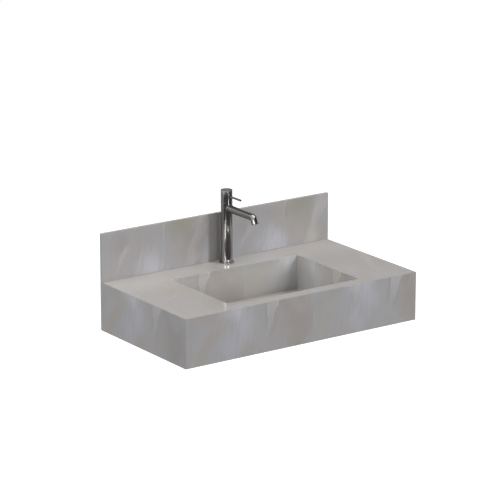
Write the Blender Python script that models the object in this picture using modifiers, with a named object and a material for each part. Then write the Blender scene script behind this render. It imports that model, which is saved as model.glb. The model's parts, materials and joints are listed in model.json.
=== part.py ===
"""Wall-hung bathroom vanity: a sintered-stone top with aprons, upstand and slab basin, a single-lever
mixer tap, a click-clack waste and the steel frame that carries them on the wall.

Metres, +Z up, +X to the right seen from the front, the front towards -Y.
The origin is the centre of the wall rail's back face, where the unit meets the wall.
Heights of the tap's pieces are measured above the deck, those of the waste above the basin floor's seat.
"""

import math

import bmesh
import bpy
from mathutils import Matrix, Vector

MM = 0.001

# Stone body
UNIT_WIDTH = 1000 * MM
UNIT_DEPTH = 545 * MM
APRON_HEIGHT = 180 * MM
UPSTAND_HEIGHT = 180 * MM
SLAB = 12 * MM
ARRIS = 0.6 * MM
UPSTAND_BED = 1.0 * MM
BED_SETBACK = 1.5 * MM
GLUE_BLOCK_WIDTH = 24 * MM
GLUE_BLOCK_HEIGHT = 90 * MM
GLUE_BLOCK_BEVEL = 2 * MM
GLUE_BLOCK_DROP = 40 * MM

# Basin
SIDE_DECK = 222.5 * MM
BACK_DECK = 120 * MM
FRONT_RIM = 50 * MM
BASIN_DEPTH = 130 * MM
FLOOR_FALL = 5 * MM
FLOOR_SLAB = 12 * MM

# Clearances and cutting
CLEARANCE = 0.3 * MM
OVERRUN = 10 * MM
MERGE = 0.01 * MM

# Wall rail and frame
RAIL_INSET = 30 * MM
RAIL_HEIGHT = 50 * MM
RAIL_SHELF = 40 * MM
RAIL_WALL = 4 * MM
WALL_HOLE_RADIUS = 5.5 * MM
WALL_HOLE_INSET = 50 * MM
ARM_INSET = 120 * MM
ARM_WIDTH = 30 * MM
ARM_WALL = 2.5 * MM
ARM_PAD = 2 * MM
FRONT_RAIL_SIZE = 20 * MM
FRONT_RAIL_WALL = 3 * MM
CRADLE_WIDTH = 30 * MM
CRADLE_HEIGHT = 20 * MM
CRADLE_WALL = 2 * MM
CRADLE_SPACING = 220 * MM
BOLT_RADIUS = 4 * MM
BOLT_HEAD_RADIUS = 7.5 * MM
BOLT_HEAD_HEIGHT = 5.3 * MM
BOLT_NUT_GRIP = 6 * MM

# Waste, with heights above the seat that the floor gives it
WASTE_HOLE_RADIUS = 22.5 * MM
WASTE_SEAT_RADIUS = 33.5 * MM
WASTE_FLANGE_RADIUS = 32 * MM
WASTE_FLANGE_HEIGHT = 3 * MM
WASTE_PIPE_RADIUS = 20.8 * MM
WASTE_LENGTH = 62 * MM
WASTE_GASKET = 1.2 * MM
WASTE_SPIDER_DEPTH = 12 * MM
WASTE_SPIDER_HEIGHT = 14 * MM
WASTE_SPIDER_WIDTH = 4 * MM
WASTE_HUB_RADIUS = 10 * MM
CLICK_RADIUS = 7.5 * MM
CLICK_LENGTH = 30 * MM
CLICK_WALL = 2.5 * MM
CLICK_LIP = 1.5 * MM
CLICK_LIP_HEIGHT = 2 * MM
PLUG_RADIUS = 29.5 * MM
PLUG_EDGE = 2.2 * MM
PLUG_CROWN = 3.4 * MM
PLUG_STEM_RADIUS = 4.2 * MM
PLUG_STEM_END = 26 * MM
PLUG_SEAL_HEIGHT = 1.2 * MM
PLUG_SEAL_WIDTH = 3 * MM
LOWER_GASKET_HEIGHT = 5 * MM
LOWER_GASKET_RADIUS = 31 * MM
WASTE_WASHER_HEIGHT = 1.5 * MM
WASTE_NUT_RADIUS = 33 * MM
WASTE_NUT_HEIGHT = 9 * MM
TAIL_RADIUS = 16 * MM
TAIL_WALL = 1.6 * MM
TAIL_LENGTH = 78 * MM
TAIL_OVERLAP = 18 * MM

# Tap, with heights above the deck
TAP_OFFSET = 11.2 * MM
TAP_SETBACK = 51 * MM
TAP_HEIGHT = 274 * MM
CAP_HEIGHT = 45 * MM
BODY_RADIUS = 22 * MM
BODY_WALL = 3.5 * MM
FLANGE_RADIUS = 27 * MM
FLANGE_HEIGHT = 6 * MM
FLANGE_ROUND = 1.2 * MM
BASE_GASKET = 1.0 * MM
BASE_GASKET_WIDTH = 6 * MM
CAP_ROUND = 1.0 * MM
CAP_WALL = 4 * MM
CAP_TOP = 3 * MM
CAP_BOSS_RADIUS = 8 * MM
CAP_SOCKET_DEPTH = 11 * MM
RIM_LAND = 0.2 * MM
PIVOT_DROP = 10 * MM
LEVER_BELOW_TOP = 22 * MM
LEVER_RADIUS = 4 * MM
LEVER_REACH = 90 * MM
LEVER_ROUND = 0.6 * MM
LEVER_SOCKET_RADIUS = 5.1 * MM
LEVER_SOCKET_DEPTH = 1.2 * MM
GRUB_RADIUS = 2 * MM
GRUB_KEY_RADIUS = 1.1 * MM
GRUB_KEY_DEPTH = 1.8 * MM
GRUB_BELOW_LEVER = 4.5 * MM
SPINDLE_RADIUS = 3.5 * MM
SPINDLE_ABOVE_LEVER = 1.5 * MM
SPINDLE_BALL_RADIUS = 6 * MM
SPINDLE_TAIL_RADIUS = 2.5 * MM
SPINDLE_TAIL = 9 * MM
SPINDLE_CHAMFER = 0.5 * MM
PIN_RADIUS = 1.2 * MM
ROTOR_RADIUS = 8.5 * MM
ROTOR_ABOVE_PIVOT = 5 * MM
ROTOR_BELOW_PIVOT = 17 * MM
ROTOR_FLOOR = 5 * MM
CARTRIDGE_RADIUS = 12.5 * MM
CARTRIDGE_LENGTH = 30 * MM
CARTRIDGE_FLANGE_RADIUS = 16.2 * MM
CARTRIDGE_FLANGE = 3 * MM
CARTRIDGE_PORT_RADIUS = 2.6 * MM
CARTRIDGE_OUTLET_RADIUS = 2.4 * MM
PORT_SPACING = 10.6 * MM
NECK_HEIGHT = 6 * MM
DOME_HOLE_RADIUS = 12.5 * MM
SPOUT_BELOW_SEAM = 22.5 * MM
SPOUT_RADIUS = 14 * MM
SPOUT_TIP_RADIUS = 13 * MM
SPOUT_WALL = 2.4 * MM
SPOUT_REACH = 180 * MM
SPOUT_DROP = 21.5 * MM
SPOUT_BEND_RADIUS = 16 * MM
SPIGOT_RADIUS = 8 * MM
SPIGOT_BORE_RADIUS = 6 * MM
COLLAR_RADIUS = 15.3 * MM
COLLAR_LENGTH = 4 * MM
AERATOR_RADIUS = 12.3 * MM
AERATOR_LIP = 1.2 * MM
AERATOR_LENGTH = 8 * MM
AERATOR_WALL = 1.6 * MM
AERATOR_SEAT_WALL = 1.2 * MM
INSERT_HEIGHT = 3 * MM
INSERT_HOLE_RADIUS = 0.8 * MM
INSERT_RING_RADIUS = 5.4 * MM
SHANK_STEP = 1.7 * MM
SHANK_LENGTH = 48 * MM
SHANK_HEAD_TOP = 14 * MM
SHANK_HEAD_HEIGHT = 6 * MM
DECK_HOLE_ROOM = 1.5 * MM
WASHER_RADIUS = 24 * MM
RUBBER_WASHER = 3 * MM
STEEL_WASHER = 2 * MM
FIXING_NUT_HEIGHT = 9 * MM
INLET_SPACING = 13.6 * MM
INLET_RADIUS = 5 * MM
INLET_WALL = 1 * MM
INLET_BELOW_DECK = 62 * MM

SPOUT_BEND = math.radians(66)
BODY_STEPS = 32
SMALL_STEPS = 20
HOLE_SIDES = 12
TUBE_RESOLUTION = 8
BEND_STEPS = 6
ARC_STEPS = 4
ROUND_STEPS = 3
INSERT_HOLES = 8
HEX_SIDES = 6
WALL_HOLES = 4

# Places worked out from the sizes
DECK = RAIL_HEIGHT / 2 + CLEARANCE + SLAB
UNDERSIDE = DECK - SLAB
APRON_BOTTOM = DECK - APRON_HEIGHT
HALF_WIDTH = UNIT_WIDTH / 2
FRONT = -UNIT_DEPTH
BASIN_FRONT = FRONT + FRONT_RIM
BASIN_BACK = -BACK_DECK
BASIN_MIDDLE = (BASIN_FRONT + BASIN_BACK) / 2
BASIN_SIDE = HALF_WIDTH - SIDE_DECK
FLOOR_EDGE = DECK - BASIN_DEPTH
WASTE_SEAT = FLOOR_EDGE - FLOOR_FALL
FLOOR_BOTTOM = WASTE_SEAT - FLOOR_SLAB
WASTE_BORE_RADIUS = TAIL_RADIUS + CLEARANCE
MITRE_GAP = CLEARANCE * math.sqrt(2)
RAIL_WIDTH = UNIT_WIDTH - 2 * RAIL_INSET
WALL_HOLE_SPACING = (RAIL_WIDTH - 2 * WALL_HOLE_INSET) / (WALL_HOLES - 1)
ARM_SPACING = UNIT_WIDTH - 2 * ARM_INSET
RAIL_TOP = RAIL_HEIGHT / 2
RAIL_BOTTOM = -RAIL_HEIGHT / 2
ARM_TOP = UNDERSIDE - CLEARANCE - ARM_PAD - CLEARANCE
CRADLE_TOP = FLOOR_BOTTOM - CLEARANCE
CRADLE_BOTTOM = CRADLE_TOP - CRADLE_HEIGHT
SEAM_HEIGHT = TAP_HEIGHT - CAP_HEIGHT
LEVER_HEIGHT = TAP_HEIGHT - LEVER_BELOW_TOP
SPOUT_HEIGHT = SEAM_HEIGHT - SPOUT_BELOW_SEAM
PIVOT = SEAM_HEIGHT - PIVOT_DROP
SPINDLE_LENGTH = LEVER_HEIGHT + SPINDLE_ABOVE_LEVER - PIVOT
CAP_RIM = SEAM_HEIGHT + CLEARANCE
CAP_SPHERE = math.hypot(BODY_RADIUS - RIM_LAND, CAP_RIM - PIVOT)
DOME_SPHERE = CAP_SPHERE - CLEARANCE
BODY_TOP = PIVOT + math.sqrt(DOME_SPHERE ** 2 - BODY_RADIUS ** 2)
BODY_FOOT = FLANGE_HEIGHT + CLEARANCE
BODY_BORE_RADIUS = BODY_RADIUS - BODY_WALL
SHANK_HEAD_RADIUS = BODY_BORE_RADIUS - CLEARANCE
SHANK_RADIUS = SHANK_HEAD_RADIUS - SHANK_STEP
DECK_HOLE_RADIUS = SHANK_RADIUS + DECK_HOLE_ROOM
CARTRIDGE_SEAT = PIVOT
COUNTERBORE_RADIUS = CARTRIDGE_FLANGE_RADIUS + CLEARANCE
CARTRIDGE_TOP = CARTRIDGE_SEAT + CLEARANCE + CARTRIDGE_FLANGE
CARTRIDGE_FOOT = CARTRIDGE_TOP - CARTRIDGE_LENGTH
ROTOR_FOOT = PIVOT - ROTOR_BELOW_PIVOT
CAP_SOCKET_TOP = PIVOT + SPINDLE_LENGTH + CLEARANCE
CAP_BOSS_FOOT = CAP_SOCKET_TOP - CAP_SOCKET_DEPTH
SHANK_HEAD_FOOT = SHANK_HEAD_TOP - SHANK_HEAD_HEIGHT
RUBBER_TOP = -SLAB - CLEARANCE
STEEL_TOP = RUBBER_TOP - RUBBER_WASHER - CLEARANCE
NUT_TOP = STEEL_TOP - STEEL_WASHER - CLEARANCE

COLLECTION = "wall_hung_vanity"
FINISHES = {
    "stone": ((0.42, 0.40, 0.38, 1), 0.0, 0.12),
    "gunmetal": ((0.09, 0.09, 0.09, 1), 1.0, 0.16),
    "steel": ((0.45, 0.46, 0.47, 1), 1.0, 0.35),
    "brass": ((0.70, 0.52, 0.25, 1), 1.0, 0.30),
    "rubber": ((0.03, 0.03, 0.03, 1), 0.0, 0.80),
    "polymer": ((0.75, 0.75, 0.73, 1), 0.0, 0.45),
    "sealant": ((0.35, 0.34, 0.33, 1), 0.0, 0.50),
    "painted_frame": ((0.05, 0.05, 0.055, 1), 0.2, 0.55),
}


def clear_scene():
    """Empty the scene of its objects."""
    for item in list(bpy.data.objects):
        bpy.data.objects.remove(item, do_unlink=True)


def collection(name):
    """The collection of that name, linked to the scene."""
    group = bpy.data.collections.get(name)
    if group is None:
        group = bpy.data.collections.new(name)
        bpy.context.scene.collection.children.link(group)
    return group


def finish(name):
    """A Principled material with the finish's colour, metallic value and roughness."""
    existing = bpy.data.materials.get(name)
    if existing is not None:
        return existing
    colour, metallic, roughness = FINISHES[name]
    made = bpy.data.materials.new(name)
    made.use_nodes = True
    shader = made.node_tree.nodes["Principled BSDF"]
    shader.inputs["Base Color"].default_value = colour
    shader.inputs["Metallic"].default_value = metallic
    shader.inputs["Roughness"].default_value = roughness
    made.diffuse_color = colour
    return made


def add_object(name, mesh, look, parent=None, place=(0, 0, 0)):
    """A part in the object's collection, on its parent's axis."""
    part = bpy.data.objects.new(name, mesh)
    collection(COLLECTION).objects.link(part)
    part.data.materials.append(finish(look))
    part.parent = parent
    part.location = place
    return part


def as_cutter(part):
    """Turn a part into a hidden tool for a Boolean."""
    collection(COLLECTION).objects.unlink(part)
    collection("cutters").objects.link(part)
    part.hide_render = True
    part.display_type = "WIRE"
    return part


def combine(part, tool, operation):
    """Apply one hidden tool to a part with an exact Boolean."""
    modifier = part.modifiers.new(tool.name, "BOOLEAN")
    modifier.operation = operation
    modifier.solver = "EXACT"
    modifier.object = tool


def cut(part, tool):
    """Subtract a tool from a part."""
    combine(part, as_cutter(tool), "DIFFERENCE")


def join(part, tool):
    """Add a tool to a part as one body."""
    combine(part, as_cutter(tool), "UNION")


def box(name, low, high, look, parent=None):
    """A box between two corners, its origin at its centre."""
    low = Vector(low)
    high = Vector(high)
    size = high - low
    mesh = bpy.data.meshes.new(name)
    shape = bmesh.new()
    bmesh.ops.create_cube(shape, size=1.0, matrix=Matrix.Diagonal((*size, 1)))
    shape.to_mesh(mesh)
    shape.free()
    return add_object(name, mesh, look, parent, (low + high) / 2)


def bevel(part, width, segments=1):
    """Round or chamfer a part's edges."""
    modifier = part.modifiers.new("Edges", "BEVEL")
    modifier.width = width
    modifier.segments = segments
    modifier.limit_method = "ANGLE"


def move_corners(part, rule):
    """Shift a box's corners: rule takes a corner in the part's own space and returns its new place."""
    for vertex in part.data.vertices:
        vertex.co = rule(vertex.co.copy())


def cylinder(name, radius, low, high, look, parent=None, sides=SMALL_STEPS, place=(0, 0, 0)):
    """An upright cylinder between two heights of its parent's frame."""
    mesh = bpy.data.meshes.new(name)
    shape = bmesh.new()
    middle = Matrix.Translation((0, 0, (low + high) / 2)) @ Matrix.Rotation(math.pi / sides, 4, "Z")
    bmesh.ops.create_cone(shape, cap_ends=True, segments=sides, radius1=radius, radius2=radius,
                          depth=high - low, matrix=middle)
    shape.to_mesh(mesh)
    shape.free()
    return add_object(name, mesh, look, parent, place)


def lie_along_y(part):
    """Turn an upright part so that its +Z points along -Y."""
    part.rotation_euler = (math.pi / 2, 0, 0)


def lie_along_x(part):
    """Turn an upright part so that its +Z points along +X."""
    part.rotation_euler = (0, math.pi / 2, 0)


def turned(name, profile, look, parent=None, place=(0, 0, 0), steps=SMALL_STEPS):
    """A turned piece: the profile's (radius, height) points run down its outer side."""
    mesh = bpy.data.meshes.new(name)
    points = [(radius, 0, height) for radius, height in profile]
    edges = [(i, i + 1) for i in range(len(points) - 1)]
    if min(radius for radius, height in profile) > 0:
        edges.append((len(points) - 1, 0))
    mesh.from_pydata(points, edges, [])
    part = add_object(name, mesh, look, parent, place)
    screw = part.modifiers.new("Turn", "SCREW")
    screw.steps = steps
    screw.render_steps = steps
    screw.use_merge_vertices = True
    screw.merge_threshold = MERGE
    return part


def ring(name, inner, outer, low, high, look, parent=None, place=(0, 0, 0), steps=SMALL_STEPS):
    """A plain turned ring between two radii and two heights."""
    profile = [(outer, high), (outer, low), (inner, low), (inner, high)]
    return turned(name, profile, look, parent, place, steps)


def arc(centre_height, radius, from_radius, to_radius, steps=ARC_STEPS):
    """Points along a sphere's upper outline, from one distance off the axis to another."""
    first = math.asin(from_radius / radius)
    last = math.asin(to_radius / radius)
    angles = [first + (last - first) * i / steps for i in range(steps + 1)]
    return [(radius * math.sin(a), centre_height + radius * math.cos(a)) for a in angles]


def quarter_round(radius, height, round_radius):
    """The rounded top edge of a turned piece, from its top face to its side."""
    angles = [math.pi / 2 * i / ROUND_STEPS for i in range(ROUND_STEPS + 1)]
    return [(radius - round_radius + round_radius * math.sin(a),
             height - round_radius + round_radius * math.cos(a)) for a in angles]


def tube(name, points, radii, look, parent=None):
    """A solid rod along points, as a mesh with welded caps."""
    curve = bpy.data.curves.new(name, "CURVE")
    curve.dimensions = "3D"
    curve.bevel_depth = 1.0
    curve.bevel_resolution = TUBE_RESOLUTION
    curve.use_fill_caps = True
    spline = curve.splines.new("POLY")
    spline.points.add(len(points) - 1)
    for node, place, radius in zip(spline.points, points, radii):
        node.co = (*place, 1)
        node.radius = radius
    guide = bpy.data.objects.new(name + "_path", curve)
    collection(COLLECTION).objects.link(guide)
    bpy.context.view_layer.update()
    evaluated = guide.evaluated_get(bpy.context.evaluated_depsgraph_get())
    mesh = bpy.data.meshes.new_from_object(evaluated)
    shape = bmesh.new()
    shape.from_mesh(mesh)
    bmesh.ops.remove_doubles(shape, verts=shape.verts, dist=MERGE)
    bmesh.ops.recalc_face_normals(shape, faces=shape.faces)
    shape.to_mesh(mesh)
    shape.free()
    mesh.materials.clear()
    bpy.data.objects.remove(guide, do_unlink=True)
    return add_object(name, mesh, look, parent)


def drill(part, name, radius, low, high, parent=None, place=(0, 0, 0), sides=SMALL_STEPS, lie=None):
    """Cut a round hole between two heights of its parent's frame; lie turns the hole's axis."""
    hole = cylinder(name, radius, low, high, part.data.materials[0].name, parent, sides, place)
    if lie is not None:
        lie(hole)
    cut(part, hole)


def hex_bolt(name, place, grip, head_down, look="steel"):
    """A hexagon bolt whose head's bearing face is at its place; the shank runs away from the head."""
    side = -1 if head_down else 1
    low, high = sorted((0, -side * grip))
    bolt = cylinder(name, BOLT_RADIUS, low, high, look, sides=HOLE_SIDES, place=place)
    low, high = sorted((0, side * BOLT_HEAD_HEIGHT))
    head = cylinder(name + "_head", BOLT_HEAD_RADIUS, low, high, look, sides=HEX_SIDES, place=place)
    join(bolt, head)
    return bolt


def empty(name, place):
    """An empty that marks an axis."""
    marker = bpy.data.objects.new(name, None)
    collection(COLLECTION).objects.link(marker)
    marker.location = place
    return marker


def arris_cutter(name, start, end, outward):
    """A bar along an outer edge whose face takes the sharp corner off at 45 degrees."""
    start = Vector(start)
    end = Vector(end)
    along = (end - start).normalized()
    outward = Vector(outward).normalized()
    across = outward.cross(along)
    turn = Matrix((along, across, outward)).transposed().to_4x4()
    length = (end - start).length + 2 * OVERRUN
    bar = box(name, (-length / 2, -OVERRUN, -ARRIS / math.sqrt(2)), (length / 2, OVERRUN, OVERRUN), "stone")
    offset = turn @ bar.location
    bar.rotation_euler = turn.to_euler()
    bar.location = (start + end) / 2 + offset
    return bar


def ease_edges(part, names):
    """Take the sharp corners off a stone piece along the named outer edges of the unit."""
    left, right = -HALF_WIDTH, HALF_WIDTH
    edges = {
        "front_top": ((left, FRONT, DECK), (right, FRONT, DECK), (0, -1, 1)),
        "left_top": ((left, FRONT, DECK), (left, 0, DECK), (-1, 0, 1)),
        "right_top": ((right, FRONT, DECK), (right, 0, DECK), (1, 0, 1)),
        "left_front": ((left, FRONT, APRON_BOTTOM), (left, FRONT, DECK), (-1, -1, 0)),
        "right_front": ((right, FRONT, APRON_BOTTOM), (right, FRONT, DECK), (1, -1, 0)),
    }
    for name in names:
        start, end, outward = edges[name]
        cut(part, arris_cutter(f"{part.name}_{name}", start, end, outward))


def make_top_slab(tap):
    """The deck, mitred to its aprons, with the basin's opening and the tap's hole."""
    slab = box("top_slab", (-HALF_WIDTH, FRONT, UNDERSIDE), (HALF_WIDTH, 0, DECK), "stone")

    def mitre(corner):
        if corner.z < 0:
            corner.x -= math.copysign(SLAB, corner.x)
            if corner.y < 0:
                corner.y += SLAB
        return corner

    move_corners(slab, mitre)
    opening = box("opening_cutter", (-BASIN_SIDE, BASIN_FRONT, UNDERSIDE - OVERRUN),
                  (BASIN_SIDE, BASIN_BACK, DECK + OVERRUN), "stone")
    cut(slab, opening)
    easing = box("opening_arris", (-BASIN_SIDE, BASIN_FRONT, DECK - ARRIS),
                 (BASIN_SIDE, BASIN_BACK, DECK + ARRIS), "stone")

    def flare(corner):
        if corner.z > 0:
            corner.x += math.copysign(2 * ARRIS, corner.x)
            corner.y += math.copysign(2 * ARRIS, corner.y)
        return corner

    move_corners(easing, flare)
    cut(slab, easing)
    drill(slab, "tap_hole", DECK_HOLE_RADIUS, -SLAB - OVERRUN, OVERRUN, tap)
    ease_edges(slab, ["front_top", "left_top", "right_top"])


def make_front_apron():
    """The front panel, mitred to the deck and to both side panels."""
    apron = box("front_apron", (-HALF_WIDTH, FRONT, APRON_BOTTOM),
                (HALF_WIDTH, FRONT + SLAB, DECK - MITRE_GAP), "stone")

    def mitre(corner):
        if corner.y > 0:
            corner.x -= math.copysign(SLAB, corner.x)
            if corner.z > 0:
                corner.z -= SLAB
        return corner

    move_corners(apron, mitre)
    ease_edges(apron, ["front_top", "left_front", "right_front"])


def make_side_apron(name, side):
    """A side panel, mitred to the deck and to the front panel, square at the wall."""
    outer = side * HALF_WIDTH
    inner = side * (HALF_WIDTH - SLAB)
    low, high = sorted((outer, inner))
    apron = box(name, (low, FRONT + MITRE_GAP, APRON_BOTTOM), (high, 0, DECK - MITRE_GAP), "stone")

    def mitre(corner):
        if corner.x * side < 0:
            if corner.y < 0:
                corner.y += SLAB
            if corner.z > 0:
                corner.z -= SLAB
        return corner

    move_corners(apron, mitre)
    word = "left" if side < 0 else "right"
    ease_edges(apron, [word + "_top", word + "_front"])


def make_upstand():
    """The upstand along the wall on its bed of sealant."""
    foot = DECK + UPSTAND_BED
    upstand = box("upstand", (-HALF_WIDTH, -SLAB, foot), (HALF_WIDTH, 0, DECK + UPSTAND_HEIGHT), "stone")
    bevel(upstand, ARRIS)
    box("upstand_seal", (-HALF_WIDTH + BED_SETBACK, -SLAB + BED_SETBACK, DECK + CLEARANCE),
        (HALF_WIDTH - BED_SETBACK, -BED_SETBACK, foot - CLEARANCE), "sealant")


def make_basin():
    """Four slab walls under the opening's edges and a floor that falls to the waste."""
    top = UNDERSIDE - CLEARANCE
    reach = BASIN_SIDE + SLAB
    inner = BASIN_SIDE
    box("basin_back_wall", (-reach, BASIN_BACK, FLOOR_BOTTOM), (reach, BASIN_BACK + SLAB, top), "stone")
    box("basin_front_wall", (-reach, BASIN_FRONT - SLAB, FLOOR_BOTTOM), (reach, BASIN_FRONT, top), "stone")
    front = BASIN_FRONT + CLEARANCE
    back = BASIN_BACK - CLEARANCE
    box("basin_left_wall", (-reach, front, FLOOR_BOTTOM), (-inner, back, top), "stone")
    box("basin_right_wall", (inner, front, FLOOR_BOTTOM), (reach, back, top), "stone")
    floor = box("basin_floor", (-inner + CLEARANCE, front, FLOOR_BOTTOM),
                (inner - CLEARANCE, back, FLOOR_EDGE), "stone")
    shape = bmesh.new()
    shape.from_mesh(floor.data)
    top_faces = [face for face in shape.faces if min(vertex.co.z for vertex in face.verts) > 0]
    poked = bmesh.ops.poke(shape, faces=top_faces)
    for vertex in poked["verts"]:
        vertex.co.z -= FLOOR_FALL
    shape.to_mesh(floor.data)
    shape.free()
    waste = (0, BASIN_MIDDLE, WASTE_SEAT)
    drill(floor, "waste_hole", WASTE_HOLE_RADIUS, -FLOOR_SLAB - OVERRUN, OVERRUN, None, waste, BODY_STEPS)
    drill(floor, "waste_recess", WASTE_SEAT_RADIUS, 0, OVERRUN, None, waste, BODY_STEPS)


def make_glue_blocks():
    """Blocks bonded into the two front corners, behind the mitres."""
    top = UNDERSIDE - GLUE_BLOCK_DROP
    back = FRONT + SLAB + CLEARANCE
    for word, side in (("left", -1), ("right", 1)):
        outer = side * (HALF_WIDTH - SLAB - CLEARANCE)
        inner = outer - side * GLUE_BLOCK_WIDTH
        low, high = sorted((outer, inner))
        block = box(f"corner_block_{word}", (low, back, top - GLUE_BLOCK_HEIGHT),
                    (high, back + GLUE_BLOCK_WIDTH, top), "polymer")
        bevel(block, GLUE_BLOCK_BEVEL)


def hollow_bar(name, low, high, wall, axis, look="painted_frame"):
    """A rectangular steel tube open at both ends along the axis."""
    bar = box(name, low, high, look)
    inner_low = Vector(low) + Vector((wall, wall, wall))
    inner_high = Vector(high) - Vector((wall, wall, wall))
    inner_low[axis] = low[axis] - OVERRUN
    inner_high[axis] = high[axis] + OVERRUN
    cut(bar, box(name + "_bore", inner_low, inner_high, look))
    return bar


def make_wall_rail():
    """An angle along the wall: its upright leg takes the wall bolts and its shelf carries the arms."""
    rail = box("wall_rail", (-RAIL_WIDTH / 2, -RAIL_SHELF, RAIL_BOTTOM), (RAIL_WIDTH / 2, 0, RAIL_TOP),
               "painted_frame")
    reach = RAIL_WIDTH / 2 + OVERRUN
    cut(rail, box("wall_rail_inside", (-reach, -RAIL_SHELF - OVERRUN, RAIL_BOTTOM + RAIL_WALL),
                  (reach, -RAIL_WALL, RAIL_TOP + OVERRUN), "painted_frame"))
    for index in range(WALL_HOLES):
        place = ((index - (WALL_HOLES - 1) / 2) * WALL_HOLE_SPACING, 0, 0)
        drill(rail, f"wall_hole_{index}", WALL_HOLE_RADIUS, -OVERRUN, OVERRUN, None, place,
              HOLE_SIDES, lie_along_y)
    for side in (-1, 1):
        place = (side * ARM_SPACING / 2, arm_bolt_back(), RAIL_BOTTOM)
        drill(rail, f"shelf_hole_{side}", BOLT_RADIUS + CLEARANCE, -OVERRUN, OVERRUN, None, place, HOLE_SIDES)


def arm_bolt_back():
    """How far from the wall the arm bolts stand."""
    return -(RAIL_WALL + RAIL_SHELF) / 2


def cradle_places():
    """Where the two cradle bars run, front and back of the basin's middle."""
    return (("front", BASIN_MIDDLE - CRADLE_SPACING / 2), ("back", BASIN_MIDDLE + CRADLE_SPACING / 2))


def make_arm(word, side):
    """A tube from the rail's shelf to the front rail, with its pad under the deck and its bolt."""
    middle = side * ARM_SPACING / 2
    low = (middle - ARM_WIDTH / 2, front_rail_back() + CLEARANCE, RAIL_BOTTOM + RAIL_WALL + CLEARANCE)
    high = (middle + ARM_WIDTH / 2, -RAIL_WALL - CLEARANCE, ARM_TOP)
    arm = hollow_bar(f"{word}_arm", low, high, ARM_WALL, 1)
    bolt_holes = [arm_bolt_back()] + [place for name, place in cradle_places()]
    for index, back in enumerate(bolt_holes):
        drill(arm, f"{word}_arm_hole_{index}", BOLT_RADIUS + CLEARANCE, -OVERRUN, OVERRUN, None,
              (middle, back, low[2]), HOLE_SIDES)
    box(f"{word}_arm_pad", (low[0], low[1], ARM_TOP + CLEARANCE), (high[0], high[1], UNDERSIDE - CLEARANCE),
        "rubber")
    grip = RAIL_WALL + 2 * CLEARANCE + ARM_WALL + BOLT_NUT_GRIP
    hex_bolt(f"{word}_arm_bolt", (middle, arm_bolt_back(), RAIL_BOTTOM - CLEARANCE), grip, True)


def front_rail_back():
    """The back edge of the front rail, which lies against the front apron."""
    return FRONT + SLAB + CLEARANCE + FRONT_RAIL_SIZE


def make_front_rail():
    """An angle glued inside the front apron, under the deck."""
    reach = ARM_SPACING / 2 + ARM_WIDTH / 2
    back = front_rail_back()
    low = (-reach, back - FRONT_RAIL_SIZE, UNDERSIDE - CLEARANCE - FRONT_RAIL_SIZE)
    high = (reach, back, UNDERSIDE - CLEARANCE)
    rail = box("front_rail", low, high, "painted_frame")
    cut(rail, box("front_rail_inside", (low[0] - OVERRUN, low[1] + FRONT_RAIL_WALL, low[2] - OVERRUN),
                  (high[0] + OVERRUN, high[1] + OVERRUN, high[2] - FRONT_RAIL_WALL), "painted_frame"))


def make_cradle():
    """Two bars under the basin's floor, each hung from both arms by a long bolt."""
    reach = ARM_SPACING / 2 + ARM_WIDTH / 2
    arm_foot = RAIL_BOTTOM + RAIL_WALL + CLEARANCE
    for word, middle in cradle_places():
        bar = hollow_bar(f"cradle_bar_{word}", (-reach, middle - CRADLE_WIDTH / 2, CRADLE_BOTTOM),
                         (reach, middle + CRADLE_WIDTH / 2, CRADLE_TOP), CRADLE_WALL, 0)
        for hand, side in (("left", -1), ("right", 1)):
            across = side * ARM_SPACING / 2
            place = (across, middle, CRADLE_BOTTOM)
            drill(bar, f"cradle_hole_{word}_{hand}", BOLT_RADIUS + CLEARANCE, -OVERRUN,
                  CRADLE_HEIGHT + OVERRUN, None, place, HOLE_SIDES)
            grip = arm_foot + ARM_WALL + BOLT_NUT_GRIP - CRADLE_BOTTOM + CLEARANCE
            hex_bolt(f"hanger_bolt_{word}_{hand}", (across, middle, CRADLE_BOTTOM - CLEARANCE), grip, True)


def make_waste_body(waste):
    """The flanged waste with the spider that holds its click cartridge."""
    foot = WASTE_GASKET + 2 * CLEARANCE
    rim = foot + WASTE_FLANGE_HEIGHT
    bottom = foot - WASTE_LENGTH
    seat = WASTE_FLANGE_RADIUS - 2 * WASTE_FLANGE_HEIGHT
    profile = [
        (seat, rim), (WASTE_FLANGE_RADIUS, foot + WASTE_FLANGE_HEIGHT / 3), (WASTE_FLANGE_RADIUS, foot),
        (WASTE_PIPE_RADIUS, foot), (WASTE_PIPE_RADIUS, bottom), (WASTE_BORE_RADIUS, bottom),
        (WASTE_BORE_RADIUS, foot), (seat - WASTE_FLANGE_HEIGHT / 2, foot + WASTE_FLANGE_HEIGHT / 2),
    ]
    body = turned("waste_body", profile, "gunmetal", waste, steps=BODY_STEPS)
    spider_top = foot - WASTE_SPIDER_DEPTH
    spider_foot = spider_top - WASTE_SPIDER_HEIGHT
    hub = cylinder("waste_hub", WASTE_HUB_RADIUS, spider_foot, spider_top, "gunmetal", waste)
    reach = (WASTE_BORE_RADIUS + WASTE_PIPE_RADIUS) / 2
    for index in range(2):
        low = (-reach, -WASTE_SPIDER_WIDTH / 2, spider_foot)
        high = (reach, WASTE_SPIDER_WIDTH / 2, spider_top)
        arm = box(f"waste_spider_{index}", low, high, "gunmetal", waste)
        arm.rotation_euler = (0, 0, index * math.pi / 2)
        join(body, arm)
    join(body, hub)
    drill(body, "waste_hub_bore", CLICK_RADIUS + CLEARANCE, spider_foot - OVERRUN,
          spider_top + OVERRUN, waste)
    return spider_top


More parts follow.
